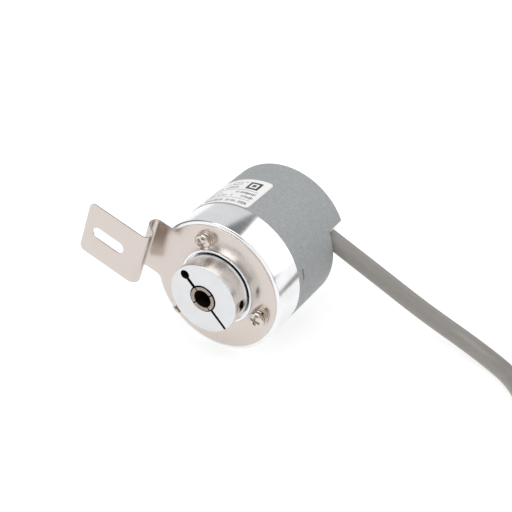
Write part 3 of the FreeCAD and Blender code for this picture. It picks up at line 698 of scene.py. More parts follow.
def settle(piece: Part, body: Body, slot: str, *nodes: str) -> Part:
    """Make a piece ride on its body and stand for its nodes, and report it.

    Args:
        piece: The finished piece.
        body: Body it rides on.
        slot: Name of its material slot; not used.
        *nodes: Nodes it stands for.

    Returns:
        The same piece.
    """
    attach(piece, body.value)
    if nodes:
        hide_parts(*nodes)
    log.info("%s rides on %s and stands for %s", piece.name, body.value, ", ".join(nodes) or "nothing")
    return piece


# ---------------------------------------------------------------- turned body and its cap


def smaller(first: Array, second: float, blend: float) -> Array:
    """The smaller of two values, min(a, b) less max(k - |a - b|, 0)^2 / 4k, which rounds their meeting.

    Args:
        first: Values to compare.
        second: Value to compare them with.
        blend: Width k of the rounding.

    Returns:
        The rounded smaller values.
    """
    return np.minimum(first, second) - np.maximum(blend - np.abs(first - second), 0) ** 2 / (4 * blend)


@dataclass
class Flange:
    """Turned aluminium flange: boss, front face, bright outside, spigot under the cap, bearing tube."""

    outside: float = 19.0
    chamfer: float = 0.3
    plate_back: float = 0.3
    boss_outer: float = 10.82
    boss_inner: float = 10.12
    boss_front: float = -0.15
    floor: float = 0.9
    lip: float = 6.9
    lip_back: float = 1.7
    joint: float = 10.3
    spigot: float = 17.6
    spigot_end: float = 13.6
    spigot_inner: float = 16.0
    web: float = 6.0
    tube: float = 9.6
    seat: float = 8.0
    tube_end: float = 18.25
    ease: float = 0.1
    segments: int = 288

    def build(self, finishes: Finishes) -> None:
        """Turn the half section, with eased corners, about the shaft axis.

        Args:
            finishes: Makes and holds the materials.
        """
        section = rounded(
            [
                (self.lip, self.floor, 0.0),
                (self.boss_inner, self.floor, 0.0),
                (self.boss_inner, self.boss_front, self.ease),
                (self.boss_outer, self.boss_front, self.ease),
                (self.boss_outer, self.plate_back, 0.0),
                (self.outside - self.chamfer, self.plate_back, self.ease),
                (self.outside, self.plate_back + self.chamfer, self.ease),
                (self.outside, self.joint, self.ease / 2),
                (self.spigot, self.joint, 0.0),
                (self.spigot, self.spigot_end, 0.0),
                (self.spigot_inner, self.spigot_end, 0.0),
                (self.spigot_inner, self.web, 0.0),
                (self.tube, self.web, 0.0),
                (self.tube, self.tube_end, 0.0),
                (self.seat, self.tube_end, 0.0),
                (self.seat, self.lip_back, 0.0),
                (self.lip, self.lip_back, 0.0),
            ]
        )
        flange = turned("turned_flange", section, self.segments)
        finishes.dress(flange, ALUMINIUM)
        settle(flange, Body.HOUSING, "aluminium", "flange_housing")


@dataclass
class RearCap:
    """Die-cast cap: a round cup whose end steps down to a ledge on the cable side."""

    outside: float = 19.0
    front: float = 10.3
    ledge: float = 28.4
    rear: float = 35.2
    wall: float = 1.4
    rear_wall: float = 1.2
    step: float = 12.7
    step_angle: float = -25.2
    corner: float = 0.12
    edge: float = 0.22
    fillet: float = 0.35
    rim_ease: float = 0.08
    mouth_ease: float = 0.05
    steepest: float = 0.05
    cable_side: float = 10.0
    cable_along: float = 31.25
    cable_radius: float = 2.5
    slot_angles: tuple[float, float] = (9.8, 189.8)
    slot_width: float = 3.1
    slot_along: tuple[float, float] = (12.3, 12.9)

    def outline(self, angle: Array, outside: float, step: float) -> Array:
        """Radius of the round outline cut by the step: smaller of R and d / cos(a - a0).

        Args:
            angle: Angles about the axis in radians.
            outside: Radius R.
            step: Distance d of the flat from the axis.

        Returns:
            The radius at each angle.
        """
        lean = np.cos(angle - math.radians(self.step_angle))
        flat = np.where(lean > self.steepest, step / np.maximum(lean, self.steepest), 4 * outside)
        return smaller(flat, outside, self.corner)

    def rows(self, angle: Array) -> Array:
        """Radius and place of each row: out over the hump, the ledge and the rim, and back inside.

        A row is the cut outline, the full circle, or either shrunk by the wall and by the eased edge.

        Args:
            angle: Angles about the axis in radians.

        Returns:
            Rows by 2 by angles: the radius and the place along the axis.
        """
        full = np.full_like(angle, self.outside)
        cut = self.outline(angle, self.outside, self.step)
        inner = self.outside - self.wall
        room = self.outline(angle, inner, self.step - self.wall)
        bore = np.full_like(angle, inner)
        turn = np.linspace(0, math.pi / 2, 6)
        eases = [(self.edge * (1 - math.sin(t)), self.edge * (1 - math.cos(t))) for t in turn]
        ease = [(cut - pull, self.rear - drop) for pull, drop in eases]
        near = np.minimum(full, cut + self.fillet)
        ledge = [
            (cut, self.ledge + self.fillet),
            (cut + (near - cut) * 0.3, self.ledge + 0.1),
            (near, self.ledge),
        ]
        open_rim = full > cut + 1e-9
        brim = [(full - pull * open_rim, self.ledge - drop) for pull, drop in eases]
        rim = [
            (full, self.front + self.rim_ease),
            (full - self.rim_ease, self.front),
            (bore + self.mouth_ease, self.front),
        ]
        inside = [
            (bore, self.front + self.mouth_ease),
            (bore, self.ledge - self.wall),
            (room, self.ledge - self.wall),
            (room, self.rear - self.rear_wall),
            (room * 0, self.rear - self.rear_wall),
        ]
        rows = [(cut * 0, self.rear), *ease, *ledge, *brim, *rim, *inside]
        return np.stack([np.stack([radius, np.broadcast_to(along, radius.shape)]) for radius, along in rows])

    def build(self, finishes: Finishes) -> None:
        """Join the rows to a closed shell, then cut the cable hole and the two slots in the skirt.

        Args:
            finishes: Makes and holds the materials.
        """
        bend = math.acos(self.step / self.outside)
        mid = math.radians(self.step_angle)
        near = np.linspace(-0.07, 0.07, 33)
        even = np.linspace(0, TURN, 288, endpoint=False)
        angle = np.concatenate([even, mid + bend + near, mid - bend + near])
        angle = np.unique(np.round(angle % TURN, 7))
        radius, along = np.moveaxis(self.rows(angle), 1, 0)
        cap = surface("cast_cap", about_shaft(radius, angle, along), wrap_columns=True)
        hole = outwards(rod("cable_hole", self.cable_radius, self.step - self.wall - PAST, self.step + PAST))
        cutters = [turn_about_shaft(shift(hole, 0, self.cable_along, self.cable_side), self.step_angle)]
        through = (self.outside - self.wall - PAST, self.outside + PAST)
        for slot_angle in self.slot_angles:
            cutters.append(saw("skirt_slot", through, self.slot_along, self.slot_width, slot_angle))
        carve(cap, cutters)
        finishes.dress(cap, CAST_GREY, BRIGHT_STEP)
        self.mark_step(cap)
        settle(cap, Body.HOUSING, "cap_grey", "rear_cap")

    def mark_step(self, cap: Part) -> None:
        """Give the flat face of the step a brighter metal finish of its own: faces on its plane that look
        outwards.

        Args:
            cap: The cap, with its two materials.
        """
        normals, centres = face_data(cap)
        mid = math.radians(self.step_angle)
        out = np.array([math.cos(mid), 0.0, math.sin(mid)])
        on_plane = (normals @ out > 0.98) & (centres @ out > self.step - 0.1)
        paint(cap.data, on_plane & (centres[:, 1] > self.ledge))


@dataclass
class TypeLabel:
    """Film label on the cap with rules, lines of unreadable marks and one plain square."""

    radius: float = 19.08
    film: float = 0.07
    angles: tuple[float, float] = (82.0, 152.0)
    along: tuple[float, float] = (10.9, 24.7)
    corner: float = 1.1
    tick: float = 0.26
    gap: float = 0.2
    missing: float = 0.12
    ink: float = 0.012
    rule: float = 0.14
    seed: int = 7
    lines: tuple[tuple[float, float, float, float], ...] = (
        (12.4, 86.0, 105.0, 1.35),
        (12.4, 108.0, 127.0, 1.3),
        (12.4, 130.0, 146.0, 1.1),
        (15.3, 85.5, 97.0, 1.25),
        (15.3, 104.0, 118.0, 1.0),
        (15.3, 121.0, 138.0, 0.9),
        (17.2, 85.0, 104.0, 1.2),
        (17.2, 118.0, 134.0, 0.8),
        (19.9, 107.0, 119.0, 1.2),
        (19.9, 122.0, 141.0, 0.8),
        (21.7, 106.0, 120.0, 0.55),
        (22.9, 103.0, 117.0, 0.45),
    )
    rules: tuple[tuple[float, float, float], ...] = ((13.9, 85.5, 149.0), (18.55, 86.0, 149.0))
    square: tuple[float, float, float] = (21.3, 94.5, 1.85)
    square_parts: tuple[tuple[float, float], ...] = ((1.0, 0.012), (0.6, 0.03), (0.3, 0.048))

    def build(self, finishes: Finishes) -> None:
        """Lay the film on the cap and the print on the film.

        Args:
            finishes: Makes and holds the materials.
        """
        film = self.patch()
        thicken(film, self.film, -1.0)
        finishes.dress(film, LABEL_FILM)
        settle(film, Body.HOUSING, "label_white", "type_label")
        ink = self.print_marks()
        finishes.dress(ink, LABEL_INK, LABEL_FILM)
        settle(ink, Body.HOUSING, "label_white")

    def patch(self) -> Part:
        """Film as a patch of the cylinder; near its ends the half width shrinks by r - sqrt(r^2 - d^2).

        Returns:
            The film, with no thickness yet.
        """
        half = (self.along[1] - self.along[0]) / 2
        middle = sum(self.along) / 2
        v = np.sin(np.linspace(1, -1, 41) * math.pi / 2) * half
        inset = np.maximum(np.abs(v) - (half - self.corner), 0)
        pull = self.corner - np.sqrt(np.maximum(self.corner**2 - inset**2, 0))
        low, high = (math.radians(value) for value in self.angles)
        reach = (high - low) / 2 - pull / self.radius
        angle = (low + high) / 2 + np.linspace(-1, 1, 97) * reach[:, None]
        return surface("label_film", about_shaft(self.radius, angle, (middle + v)[:, None]), closed=False)

    def marks(self) -> Array:
        """First and last angle, first and last place and height above the film of every mark.

        Returns:
            One row of five numbers for each mark.
        """
        rng = np.random.default_rng(self.seed)
        found = []
        for along, first, last, height in self.lines:
            pitch = math.degrees((self.tick + self.gap) / self.radius)
            start = np.arange(first, last, pitch)
            start = start[rng.random(len(start)) > self.missing]
            tall = height * rng.uniform(0.55, 1.0, len(start))
            wide = math.degrees(self.tick / self.radius) * rng.uniform(0.6, 1.15, len(start))
            lift = along + rng.uniform(-0.1, 0.1, len(start))
            ink = np.full(len(start), self.ink)
            found.append(np.stack([start, start + wide, lift - tall / 2, lift + tall / 2, ink], -1))
        rules = [[first, last, low, low + self.rule, self.ink] for low, first, last in self.rules]
        found.append(np.array(rules))
        place, angle, half = self.square
        for share, height in self.square_parts:
            side = half * share
            turn = math.degrees(side / self.radius)
            found.append(np.array([[angle - turn, angle + turn, place - side, place + side, height]]))
        return np.concatenate(found)

    def print_marks(self) -> Part:
        """Every mark as a strip of the cylinder, all worked out as one array.

        The last mark but one is the lighter part inside the square.

        Returns:
            The print.
        """
        marks = self.marks()
        step = np.linspace(0, 1, 25)
        angle = np.radians(marks[:, :1] + (marks[:, 1:2] - marks[:, :1]) * step)
        radius = self.radius + marks[:, 4:5]
        points = np.stack([about_shaft(radius, angle, place) for place in (marks[:, 3:4], marks[:, 2:3])], 1)
        quads, _ = grid_quads(2, len(step), False, False)
        faces = (quads[None] + (np.arange(len(marks)) * 2 * len(step))[:, None, None]).reshape(-1, 4)
        mesh = bpy.data.meshes.new("label_print")
        mesh.from_pydata((points.reshape(-1, 3) * MM).tolist(), [], faces.tolist())
        light = np.zeros(len(marks), np.int32)
        light[-2] = 1
        paint(mesh, np.repeat(light, len(quads)))
        mesh.shade_smooth()
        return piece_of("label_print", mesh)


# ---------------------------------------------------------------- mounting plate and its fasteners


def arc(centre: tuple[float, float], radius: float, first: float, last: float, steps: int) -> Array:
    """Points on a circle from one angle to another, both included.

    Args:
        centre: Centre of the circle.
        radius: Its radius.
        first: First angle in degrees.
        last: Last angle in degrees.
        steps: Number of points.

    Returns:
        The points, one row each.
    """
    angle = np.radians(np.linspace(first, last, steps))
    return np.stack([centre[0] + radius * np.cos(angle), centre[1] + radius * np.sin(angle)], -1)


def inside(points: Array, outline: Array) -> Array:
    """Which points lie inside a closed outline: a line from the point crosses it an odd number of times.

    Args:
        points: Points to test, one row each.
        outline: Corners of the outline, one row each.

    Returns:
        True for each point that is inside.
    """
    x, y = points[:, 0, None], points[:, 1, None]
    first, last = outline, np.roll(outline, -1, 0)
    straddles = (first[:, 1] > y) != (last[:, 1] > y)
    rise = np.where(last[:, 1] == first[:, 1], 1.0, last[:, 1] - first[:, 1])
    cross = first[:, 0] + (y - first[:, 1]) / rise * (last[:, 0] - first[:, 0])
    return (straddles & (x < cross)).sum(1) % 2 == 1


@dataclass
class MountingPlate:
    """Sheet plate round the boss, with an arm that folds forwards and out into a slotted tab.

    It is cut flat as (u, w), u along the arm, and then folded.
    """

    thick: float = 0.3
    disc: float = 17.95
    boss_hole: float = 10.90
    screw_circle: float = 14.0
    screw_hole: float = 1.25
    screw_angle: float = 101.2
    arm_angle: float = 161.2
    half_width: float = 8.25
    fillet: float = 2.0
    fold: float = 2.0
    fold_start: float = 20.35
    fold_turn: float = 147.0
    run: float = 2.012
    tab_end: float = 37.0
    tab_corner: float = 1.6
    slot: tuple[float, float] = (26.1, 32.65)
    slot_half: float = 1.75
    fold_steps: int = 18
    edge: float = 0.05

    def stations(self) -> tuple[float, ...]:
        """Flat distances at which the first bend starts and ends, then the second.

        Returns:
            The four distances.
        """
        bend = self.fold * math.radians(self.fold_turn)
        start = self.fold_start
        return start, start + bend, start + bend + self.run, start + 2 * bend + self.run

    def folded(self, u: Array) -> tuple[Array, Array]:
        """Distance from the axis and place along it of the mid surface at flat distance u.

        Each bend is an arc of radius R: the first goes round (a0, y0 - R), the second the other way.

        Args:
            u: Flat distances along the arm.

        Returns:
            The distance and the place for each of them.
        """
        one, two, three, four = self.stations()
        turn = math.radians(self.fold_turn)
        mid = self.thick / 2
        first = (u - one) / self.fold
        reach = one + self.fold * math.sin(turn)
        drop = mid - self.fold + self.fold * math.cos(turn)
        back = reach + self.run * math.cos(turn)
        low = drop - self.run * math.sin(turn)
        centre = back + self.fold * math.sin(turn), low + self.fold * math.cos(turn)
        second = turn - (u - three) / self.fold
        where = [u <= one, u <= two, u <= three, u <= four]
        out = [
            u,
            one + self.fold * np.sin(first),
            reach + (u - two) * math.cos(turn),
            centre[0] - self.fold * np.sin(second),
        ]
        along = [
            0 * u + mid,
            mid - self.fold + self.fold * np.cos(first),
            drop - (u - two) * math.sin(turn),
            centre[1] - self.fold * np.cos(second),
        ]
        return (
            np.select(where, out, centre[0] + u - four),
            np.select(where, along, centre[1] - self.fold),
        )

    def flat_of(self, reach: float) -> float:
        """Flat distance of a place on the tab at a distance from the axis."""
        four = self.stations()[3]
        return reach + four - float(self.folded(np.array([four]))[0][0])

    def bend_lines(self) -> Array:
        """Flat distances of the lines along which the arm is folded, with a guard line beside each bend.

        Returns:
            The distances, from the axis outwards.
        """
        one, two, three, four = self.stations()
        first = np.linspace(one, two, self.fold_steps)
        second = np.linspace(three, four, self.fold_steps)
        return np.concatenate([[one - 0.15], first, [two + 0.1, three - 0.1], second, [four + 0.15]])

    def outline(self) -> Array:
        """Edge of the flat sheet: disc, root fillets, arm sides and the tab's eased corners.

        Returns:
            The corners, one row each.
        """
        lean = math.degrees(math.asin((self.half_width + self.fillet) / (self.disc + self.fillet)))
        root = (self.disc + self.fillet) * math.cos(math.radians(lean)), self.half_width + self.fillet
        end = self.flat_of(self.tab_end)
        inner = end - self.tab_corner, self.half_width - self.tab_corner
        lines = self.bend_lines()
        return np.concatenate(
            [
                arc((0, 0), self.disc, lean, 360 - lean, 181)[:-1],
                arc((root[0], -root[1]), self.fillet, 180 - lean, 90, 12),
                np.stack([lines, 0 * lines - self.half_width], -1),
                arc((inner[0], -inner[1]), self.tab_corner, -90, 0, 12),
                arc(inner, self.tab_corner, 0, 90, 12),
                np.stack([lines[::-1], 0 * lines + self.half_width], -1),
                arc(root, self.fillet, -90, lean - 180, 12)[:-1],
            ]
        )

    def holes(self) -> list[Array]:
        """Edges of the boss hole, the three screw holes and the slot.

        Returns:
            One closed outline for each hole.
        """
        first, last = (self.flat_of(value) for value in self.slot)
        found = [arc((0, 0), self.boss_hole, 0, 360, 181)[:-1]]
        for k in range(3):
            angle = math.radians(self.screw_angle - self.arm_angle + 120 * k)
            centre = self.screw_circle * math.cos(angle), self.screw_circle * math.sin(angle)
            found.append(arc(centre, self.screw_hole, 0, 360, 41)[:-1])
        ends = (last, -90, 90), (first, 90, 270)
        found.append(np.concatenate([arc((at, 0), self.slot_half, low, high, 24) for at, low, high in ends]))
        return found

    def build(self, finishes: Finishes) -> None:
        """Fill the flat sheet with triangles, fold it, give it its thickness and ease its edges.

        Args:
            finishes: Makes and holds the materials.
        """
        rings = [self.outline(), *self.holes()]
        flat = np.concatenate(rings)
        edges, start = [], 0
        for ring in rings:
            number = start + np.arange(len(ring))
            edges.append(np.stack([number, np.roll(number, -1)], -1))
            start += len(ring)
        lines = self.bend_lines()
        ends = [
            [np.argmin(np.hypot(flat[:, 0] - u, flat[:, 1] - side)) for u in lines]
            for side in (-self.half_width, self.half_width)
        ]
        edges.append(np.stack(ends, -1))
        corners = [Vector(point) for point in flat]
        filled = delaunay_2d_cdt(corners, np.concatenate(edges).tolist(), [], 0, 1e-6)
        flat = np.array([tuple(point) for point in filled[0]])
        faces = np.array(filled[2])
        middle = flat[faces].mean(1)
        keep = inside(middle, rings[0])
        for ring in rings[1:]:
            keep &= ~inside(middle, ring)
        out, along = self.folded(flat[:, 0])
        turn = math.radians(self.arm_angle)
        cos, sin, across = math.cos(turn), math.sin(turn), flat[:, 1]
        points = np.stack([out * cos - across * sin, along, out * sin + across * cos], -1)
        mesh = bpy.data.meshes.new("sheet_plate")
        mesh.from_pydata((points * MM).tolist(), [], faces[keep].tolist())
        plate = piece_of("sheet_plate", mesh)
        thicken(plate, self.thick, 0.0)
        ease_edges(plate, self.edge, 60)
        finish_mesh(plate.data)
        finishes.dress(plate, PLATE_STEEL)
        settle(plate, Body.HOUSING, "plate_steel", "mounting_plate")


@dataclass
class PlateFasteners:
    """Three pan-head cross-recessed screws, each on a split spring washer and a flat washer."""

    circle: float = 14.0
    first_angle: float = 101.2
    shank: float = 1.25
    head: float = 2.25
    head_front: float = -2.7
    head_back: float = -1.1
    shank_end: float = 4.9
    recess_half: float = 0.30
    recess_reach: float = 1.2
    recess_depth: float = 0.9
    recess_slope: float = 0.2
    recess_taper: float = 0.35
    crown: float = 0.65
    rim: float = 0.42
    under_ease: float = 0.3
    tip: float = 0.4
    clearance: float = 0.1
    spring_outer: float = 2.4
    spring: tuple[float, float] = (-1.1, -0.5)
    spring_rise: float = 0.12
    spring_gap: float = 16.0
    flat_outer: float = 2.55
    flat: tuple[float, float] = (-0.5, 0.0)
    turns: tuple[float, float, float] = (28.0, 63.0, 5.0)

    def recess(self, across: Array, up: Array) -> Array:
        """Depth of the cross: two bars, each 1 inside its half width and reach and 0 past a short slope.

        Args:
            across: First coordinate on the head.
            up: Second coordinate on the head.

        Returns:
            The depth in millimetres.
        """
        bars = []
        for a, b in ((across, up), (up, across)):
            wide = np.clip(1 - (np.abs(a) - self.recess_half) / self.recess_slope, 0, 1)
            over = np.abs(b) - self.recess_reach + self.recess_taper * (1 - wide)
            bars.append(wide * np.clip(1 - over / self.recess_slope, 0, 1))
        return self.recess_depth * np.maximum(*bars)

    def screw(self, turn: float) -> Part:
        """Head as a height field over rings, then its side, underside and shank.

        The crown falls by c (r / R)^2, and the rim is a quarter turn.

        Args:
            turn: Turn of the recess in degrees.

        Returns:
            The screw, on the shaft axis.
        """
        angle = np.arange(96) * TURN / 96
        radius = np.linspace(0, self.head - self.rim, 46)
        fall = self.crown * (radius / self.head) ** 2
        quarter = np.linspace(0, math.pi / 2, 8)[1:]
        edge_radius = self.head - self.rim + self.rim * np.sin(quarter)
        edge_place = fall[-1] + self.rim * (1 - np.cos(quarter))
        under, end = self.head_back - self.head_front, self.shank_end - self.head_front
        ease, corner = self.under_ease, 0.3 * self.under_ease
        tail = np.array(
            [
                (self.head, under - ease),
                (self.head - corner, under - corner),
                (self.head - ease, under),
                (self.shank, under),
                (self.shank, end - self.tip),
                (self.shank - self.tip, end),
                (0, end),
            ]
        )
        rows_radius = np.concatenate([radius, edge_radius, tail[:, 0]])[:, None]
        rows_place = np.concatenate([fall, edge_place, tail[:, 1]])[:, None]
        across, up = rows_radius * np.cos(angle), rows_radius * np.sin(angle)
        cos, sin = math.cos(math.radians(turn)), math.sin(math.radians(turn))
        depth = self.recess(across * cos + up * sin, up * cos - across * sin)
        depth[len(radius) :] = 0
        points = np.stack([across, self.head_front + rows_place + depth, up], -1)
        return surface("pan_screw", points, wrap_columns=True)

    def spring_washer(self, turn: float) -> Part:
        """Split ring: a rectangle carried round from gap to gap while it rises, with both ends closed.

        Args:
            turn: Place of the gap in degrees.

        Returns:
            The washer, on the shaft axis.
        """
        inner = self.shank + self.clearance
        low, high = self.spring
        rise = self.spring_rise
        section = rounded(
            [
                (inner, low + rise / 2, 0.06),
                (self.spring_outer, low + rise / 2, 0.2),
                (self.spring_outer, high - rise / 2, 0.2),
                (inner, high - rise / 2, 0.06),
            ]
        )
        share = np.linspace(0, 1, 73)[:, None]
        angle = np.radians(self.spring_gap / 2 + share * (360 - self.spring_gap))
        points = about_shaft(section[:, 0], angle, section[:, 1] + (share - 0.5) * rise)
        ends = [np.broadcast_to(points[k].mean(0), (1, len(section), 3)) for k in (0, -1)]
        washer = surface("spring_washer", np.concatenate([ends[0], points, ends[1]]), wrap_columns=True)
        return turn_about_shaft(washer, turn)

    def flat_washer(self) -> Part:
        """Plain ring with eased edges.

        Returns:
            The washer, on the shaft axis.
        """
        inner, outer, (low, high) = self.shank + self.clearance, self.flat_outer, self.flat
        corners = [(inner, low, 0.04), (outer, low, 0.1), (outer, high, 0.05), (inner, high, 0.0)]
        return turned("flat_washer", rounded(corners), 72)

    def build(self, finishes: Finishes) -> None:
        """Set one of each on the circle at three places.

        Args:
            finishes: Makes and holds the materials.
        """
        sets = [
            (self.screw(turn), self.spring_washer(60 + 3 * turn), self.flat_washer()) for turn in self.turns
        ]
        for k, pieces in enumerate(sets):
            for piece in pieces:
                on_circle(piece, self.circle, self.first_angle + 120 * k)
        names = (
            ("pan_screws", "plate_screws"),
            ("split_washers", "spring_washers"),
            ("plain_washers", "flat_washers"),
        )
        for (name, node), pieces in zip(names, zip(*sets)):
            made = finishes.dress(join(name, pieces), NICKEL)
            settle(made, Body.HOUSING, "nickel", node)


# ---------------------------------------------------------------- what turns


@dataclass
class ClampCollar:
    """Split collar with its cross screw: relief hole and wide slit on one side, narrow slit on the other."""

    outside: float = 9.78
    bore: float = 3.5
    mouth: float = 0.35
    mouth_depth: float = 1.2
    front: float = -6.29
    rear: float = -0.3
    edge: float = 0.2
    slit_angle: float = 133.4
    relief_circle: float = 7.7
    relief: float = 1.3
    wide: float = 1.0
    narrow: float = 0.8
    clamp_offset: float = 6.9
    clamp_hole: float = 1.1
    clamp_seat: float = -1.6
    counterbore: float = 2.0
    screw_radius: float = 1.0
    screw_end: float = 5.6
    head: float = 1.9
    head_height: float = 2.0
    socket: float = 0.75
    skin: float = 0.12

    def across(self, piece: Part) -> Part:
        """Turn a rod on the shaft axis to the clamp screw's axis."""
        placed = shift(outwards(piece), 0, (self.front + self.rear) / 2, -self.clamp_offset)
        return turn_about_shaft(placed, self.slit_angle - 90)

    def build(self, finishes: Finishes) -> None:
        """Turn the ring and cut its slits and holes, then make the screw.

        Args:
            finishes: Makes and holds the materials.
        """
        section = rounded(
            [
                (self.bore + self.mouth, self.front, 0.04),
                (self.outside, self.front, self.edge),
                (self.outside, self.rear, self.edge / 2),
                (self.bore, self.rear, 0.05),
                (self.bore, self.front + self.mouth_depth, 0.0),
                (self.bore + self.mouth, self.front + self.mouth_depth, 0.0),
            ]
        )
        collar = turned("split_collar", section, 240)
        along = self.front - PAST, self.rear + PAST
        cutters = [
            on_circle(rod("relief_hole", self.relief, *along), self.relief_circle, self.slit_angle),
            saw("wide_slit", (0, self.relief_circle), along, self.wide, self.slit_angle),
            saw("narrow_slit", (0, self.outside + PAST), along, self.narrow, self.slit_angle + 180),
            self.across(rod("clamp_hole", self.clamp_hole, self.clamp_seat - PAST, 2 * self.outside)),
            self.across(rod("counterbore", self.counterbore, -self.outside - PAST, self.clamp_seat)),
        ]
        carve(collar, cutters, 0.06)
        self.mark_faces(collar)
        finishes.dress(collar, COLLAR_SIDE, ALUMINIUM_FACE, BORE_SHADE)
        settle(collar, Body.SHAFT, "aluminium", "clamp_collar")
        self.make_screw(finishes)

    def mark_faces(self, collar: Part) -> None:
        """Slot 1 for the faced ends, and slot 2 for painted shade on the walls of the slits, the holes and
        the bore.

        Args:
            collar: The finished collar.
        """
        normals, (across, along, up) = (values.T for values in face_data(collar))
        within = (
            (np.hypot(across, up) < self.outside - self.skin)
            & (along > self.front + self.skin)
            & (along < self.rear - self.skin)
        )
        # Slot 2 paints shade on the walls inside the collar: the slits, the holes and the bore.
        paint(collar.data, np.where(within, 2, np.abs(normals[1]) > 0.9))

    def make_screw(self, finishes: Finishes) -> None:
        """Cap screw across the collar, turned about its own axis, with a six-sided socket.

        Args:
            finishes: Makes and holds the materials.
        """
        top = self.clamp_seat - self.head_height
        section = rounded(
            [
                (0, top, 0.0),
                (self.head, top, 0.15),
                (self.head, self.clamp_seat, 0.05),
                (self.screw_radius, self.clamp_seat, 0.0),
                (self.screw_radius, self.screw_end, 0.3),
                (0, self.screw_end, 0.0),
            ]
        )
        screw = turned("cap_screw", section, 72, loop=False)
        carve(screw, [rod("socket", self.socket, top - PAST, top + self.head_height / 2, 6)])
        self.across(screw)
        finishes.dress(screw, NICKEL)
        settle(screw, Body.SHAFT, "nickel", "clamp_screw")


@dataclass
class HollowShaft:
    """Hollow shaft: slotted nose inside the collar, shoulder and the journal for bearings and disc hub."""

    bore: float = 2.5
    bore_end: float = 14.0
    chamfer: float = 0.1
    nose: float = 3.5
    front: float = -6.54
    shoulder: float = 4.9
    shoulder_front: float = 0.6
    shoulder_back: float = 1.7
    journal: float = 4.0
    rear: float = 21.8
    slot_angle: float = 36.7
    slot_width: float = 0.35
    slot_length: float = 5.5
    # Length of the bore's mouth that is left without painted shade.
    bright: float = 0.5
    near: float = 0.01

    def build(self, finishes: Finishes) -> None:
        """Turn the shaft and saw the four slots into its nose.

        Args:
            finishes: Makes and holds the materials.
        """
        section = rounded(
            [
                (0, self.bore_end, 0.0),
                (self.bore, self.bore_end, 0.0),
                (self.bore, self.front + self.chamfer, 0.04),
                (self.bore + self.chamfer, self.front, 0.05),
                (self.nose, self.front, 0.08),
                (self.nose, self.shoulder_front, 0.0),
                (self.shoulder, self.shoulder_front, 0.1),
                (self.shoulder, self.shoulder_back, 0.0),
                (self.journal, self.shoulder_back, 0.0),
                (self.journal, self.rear, 0.15),
                (0, self.rear, 0.0),
            ]
        )
        shaft = turned("slotted_shaft", section, 160, loop=False)
        reach, along = (0, self.nose + PAST), (self.front - PAST, self.front + self.slot_length)
        turns = [self.slot_angle + 90 * k for k in range(4)]
        carve(shaft, [saw("nose_slot", reach, along, self.slot_width, turn) for turn in turns], 0.03)
        finishes.dress(shaft, SHAFT_STEEL, BORE_SHADE)
        self.darken_bore(shaft)
        settle(shaft, Body.SHAFT, "shaft_steel", "hollow_shaft")

    def darken_bore(self, shaft: Part) -> None:
        """Paint shade into the bore: faces nearer the axis than the bore's wall, past a short bright mouth,
        take the dark painted-shade finish.

        Args:
            shaft: The shaft, with its two materials.
        """
        across, along, up = face_data(shaft)[1].T
        # Painted shade on the bore wall, from the end of the mouth to the bore's end.
        shaded_span = (along > self.front + self.bright) & (along < self.bore_end + self.near)
        paint(shaft.data, (np.hypot(across, up) < self.bore + self.near) & shaded_span)


# ---------------------------------------------------------------- the cable


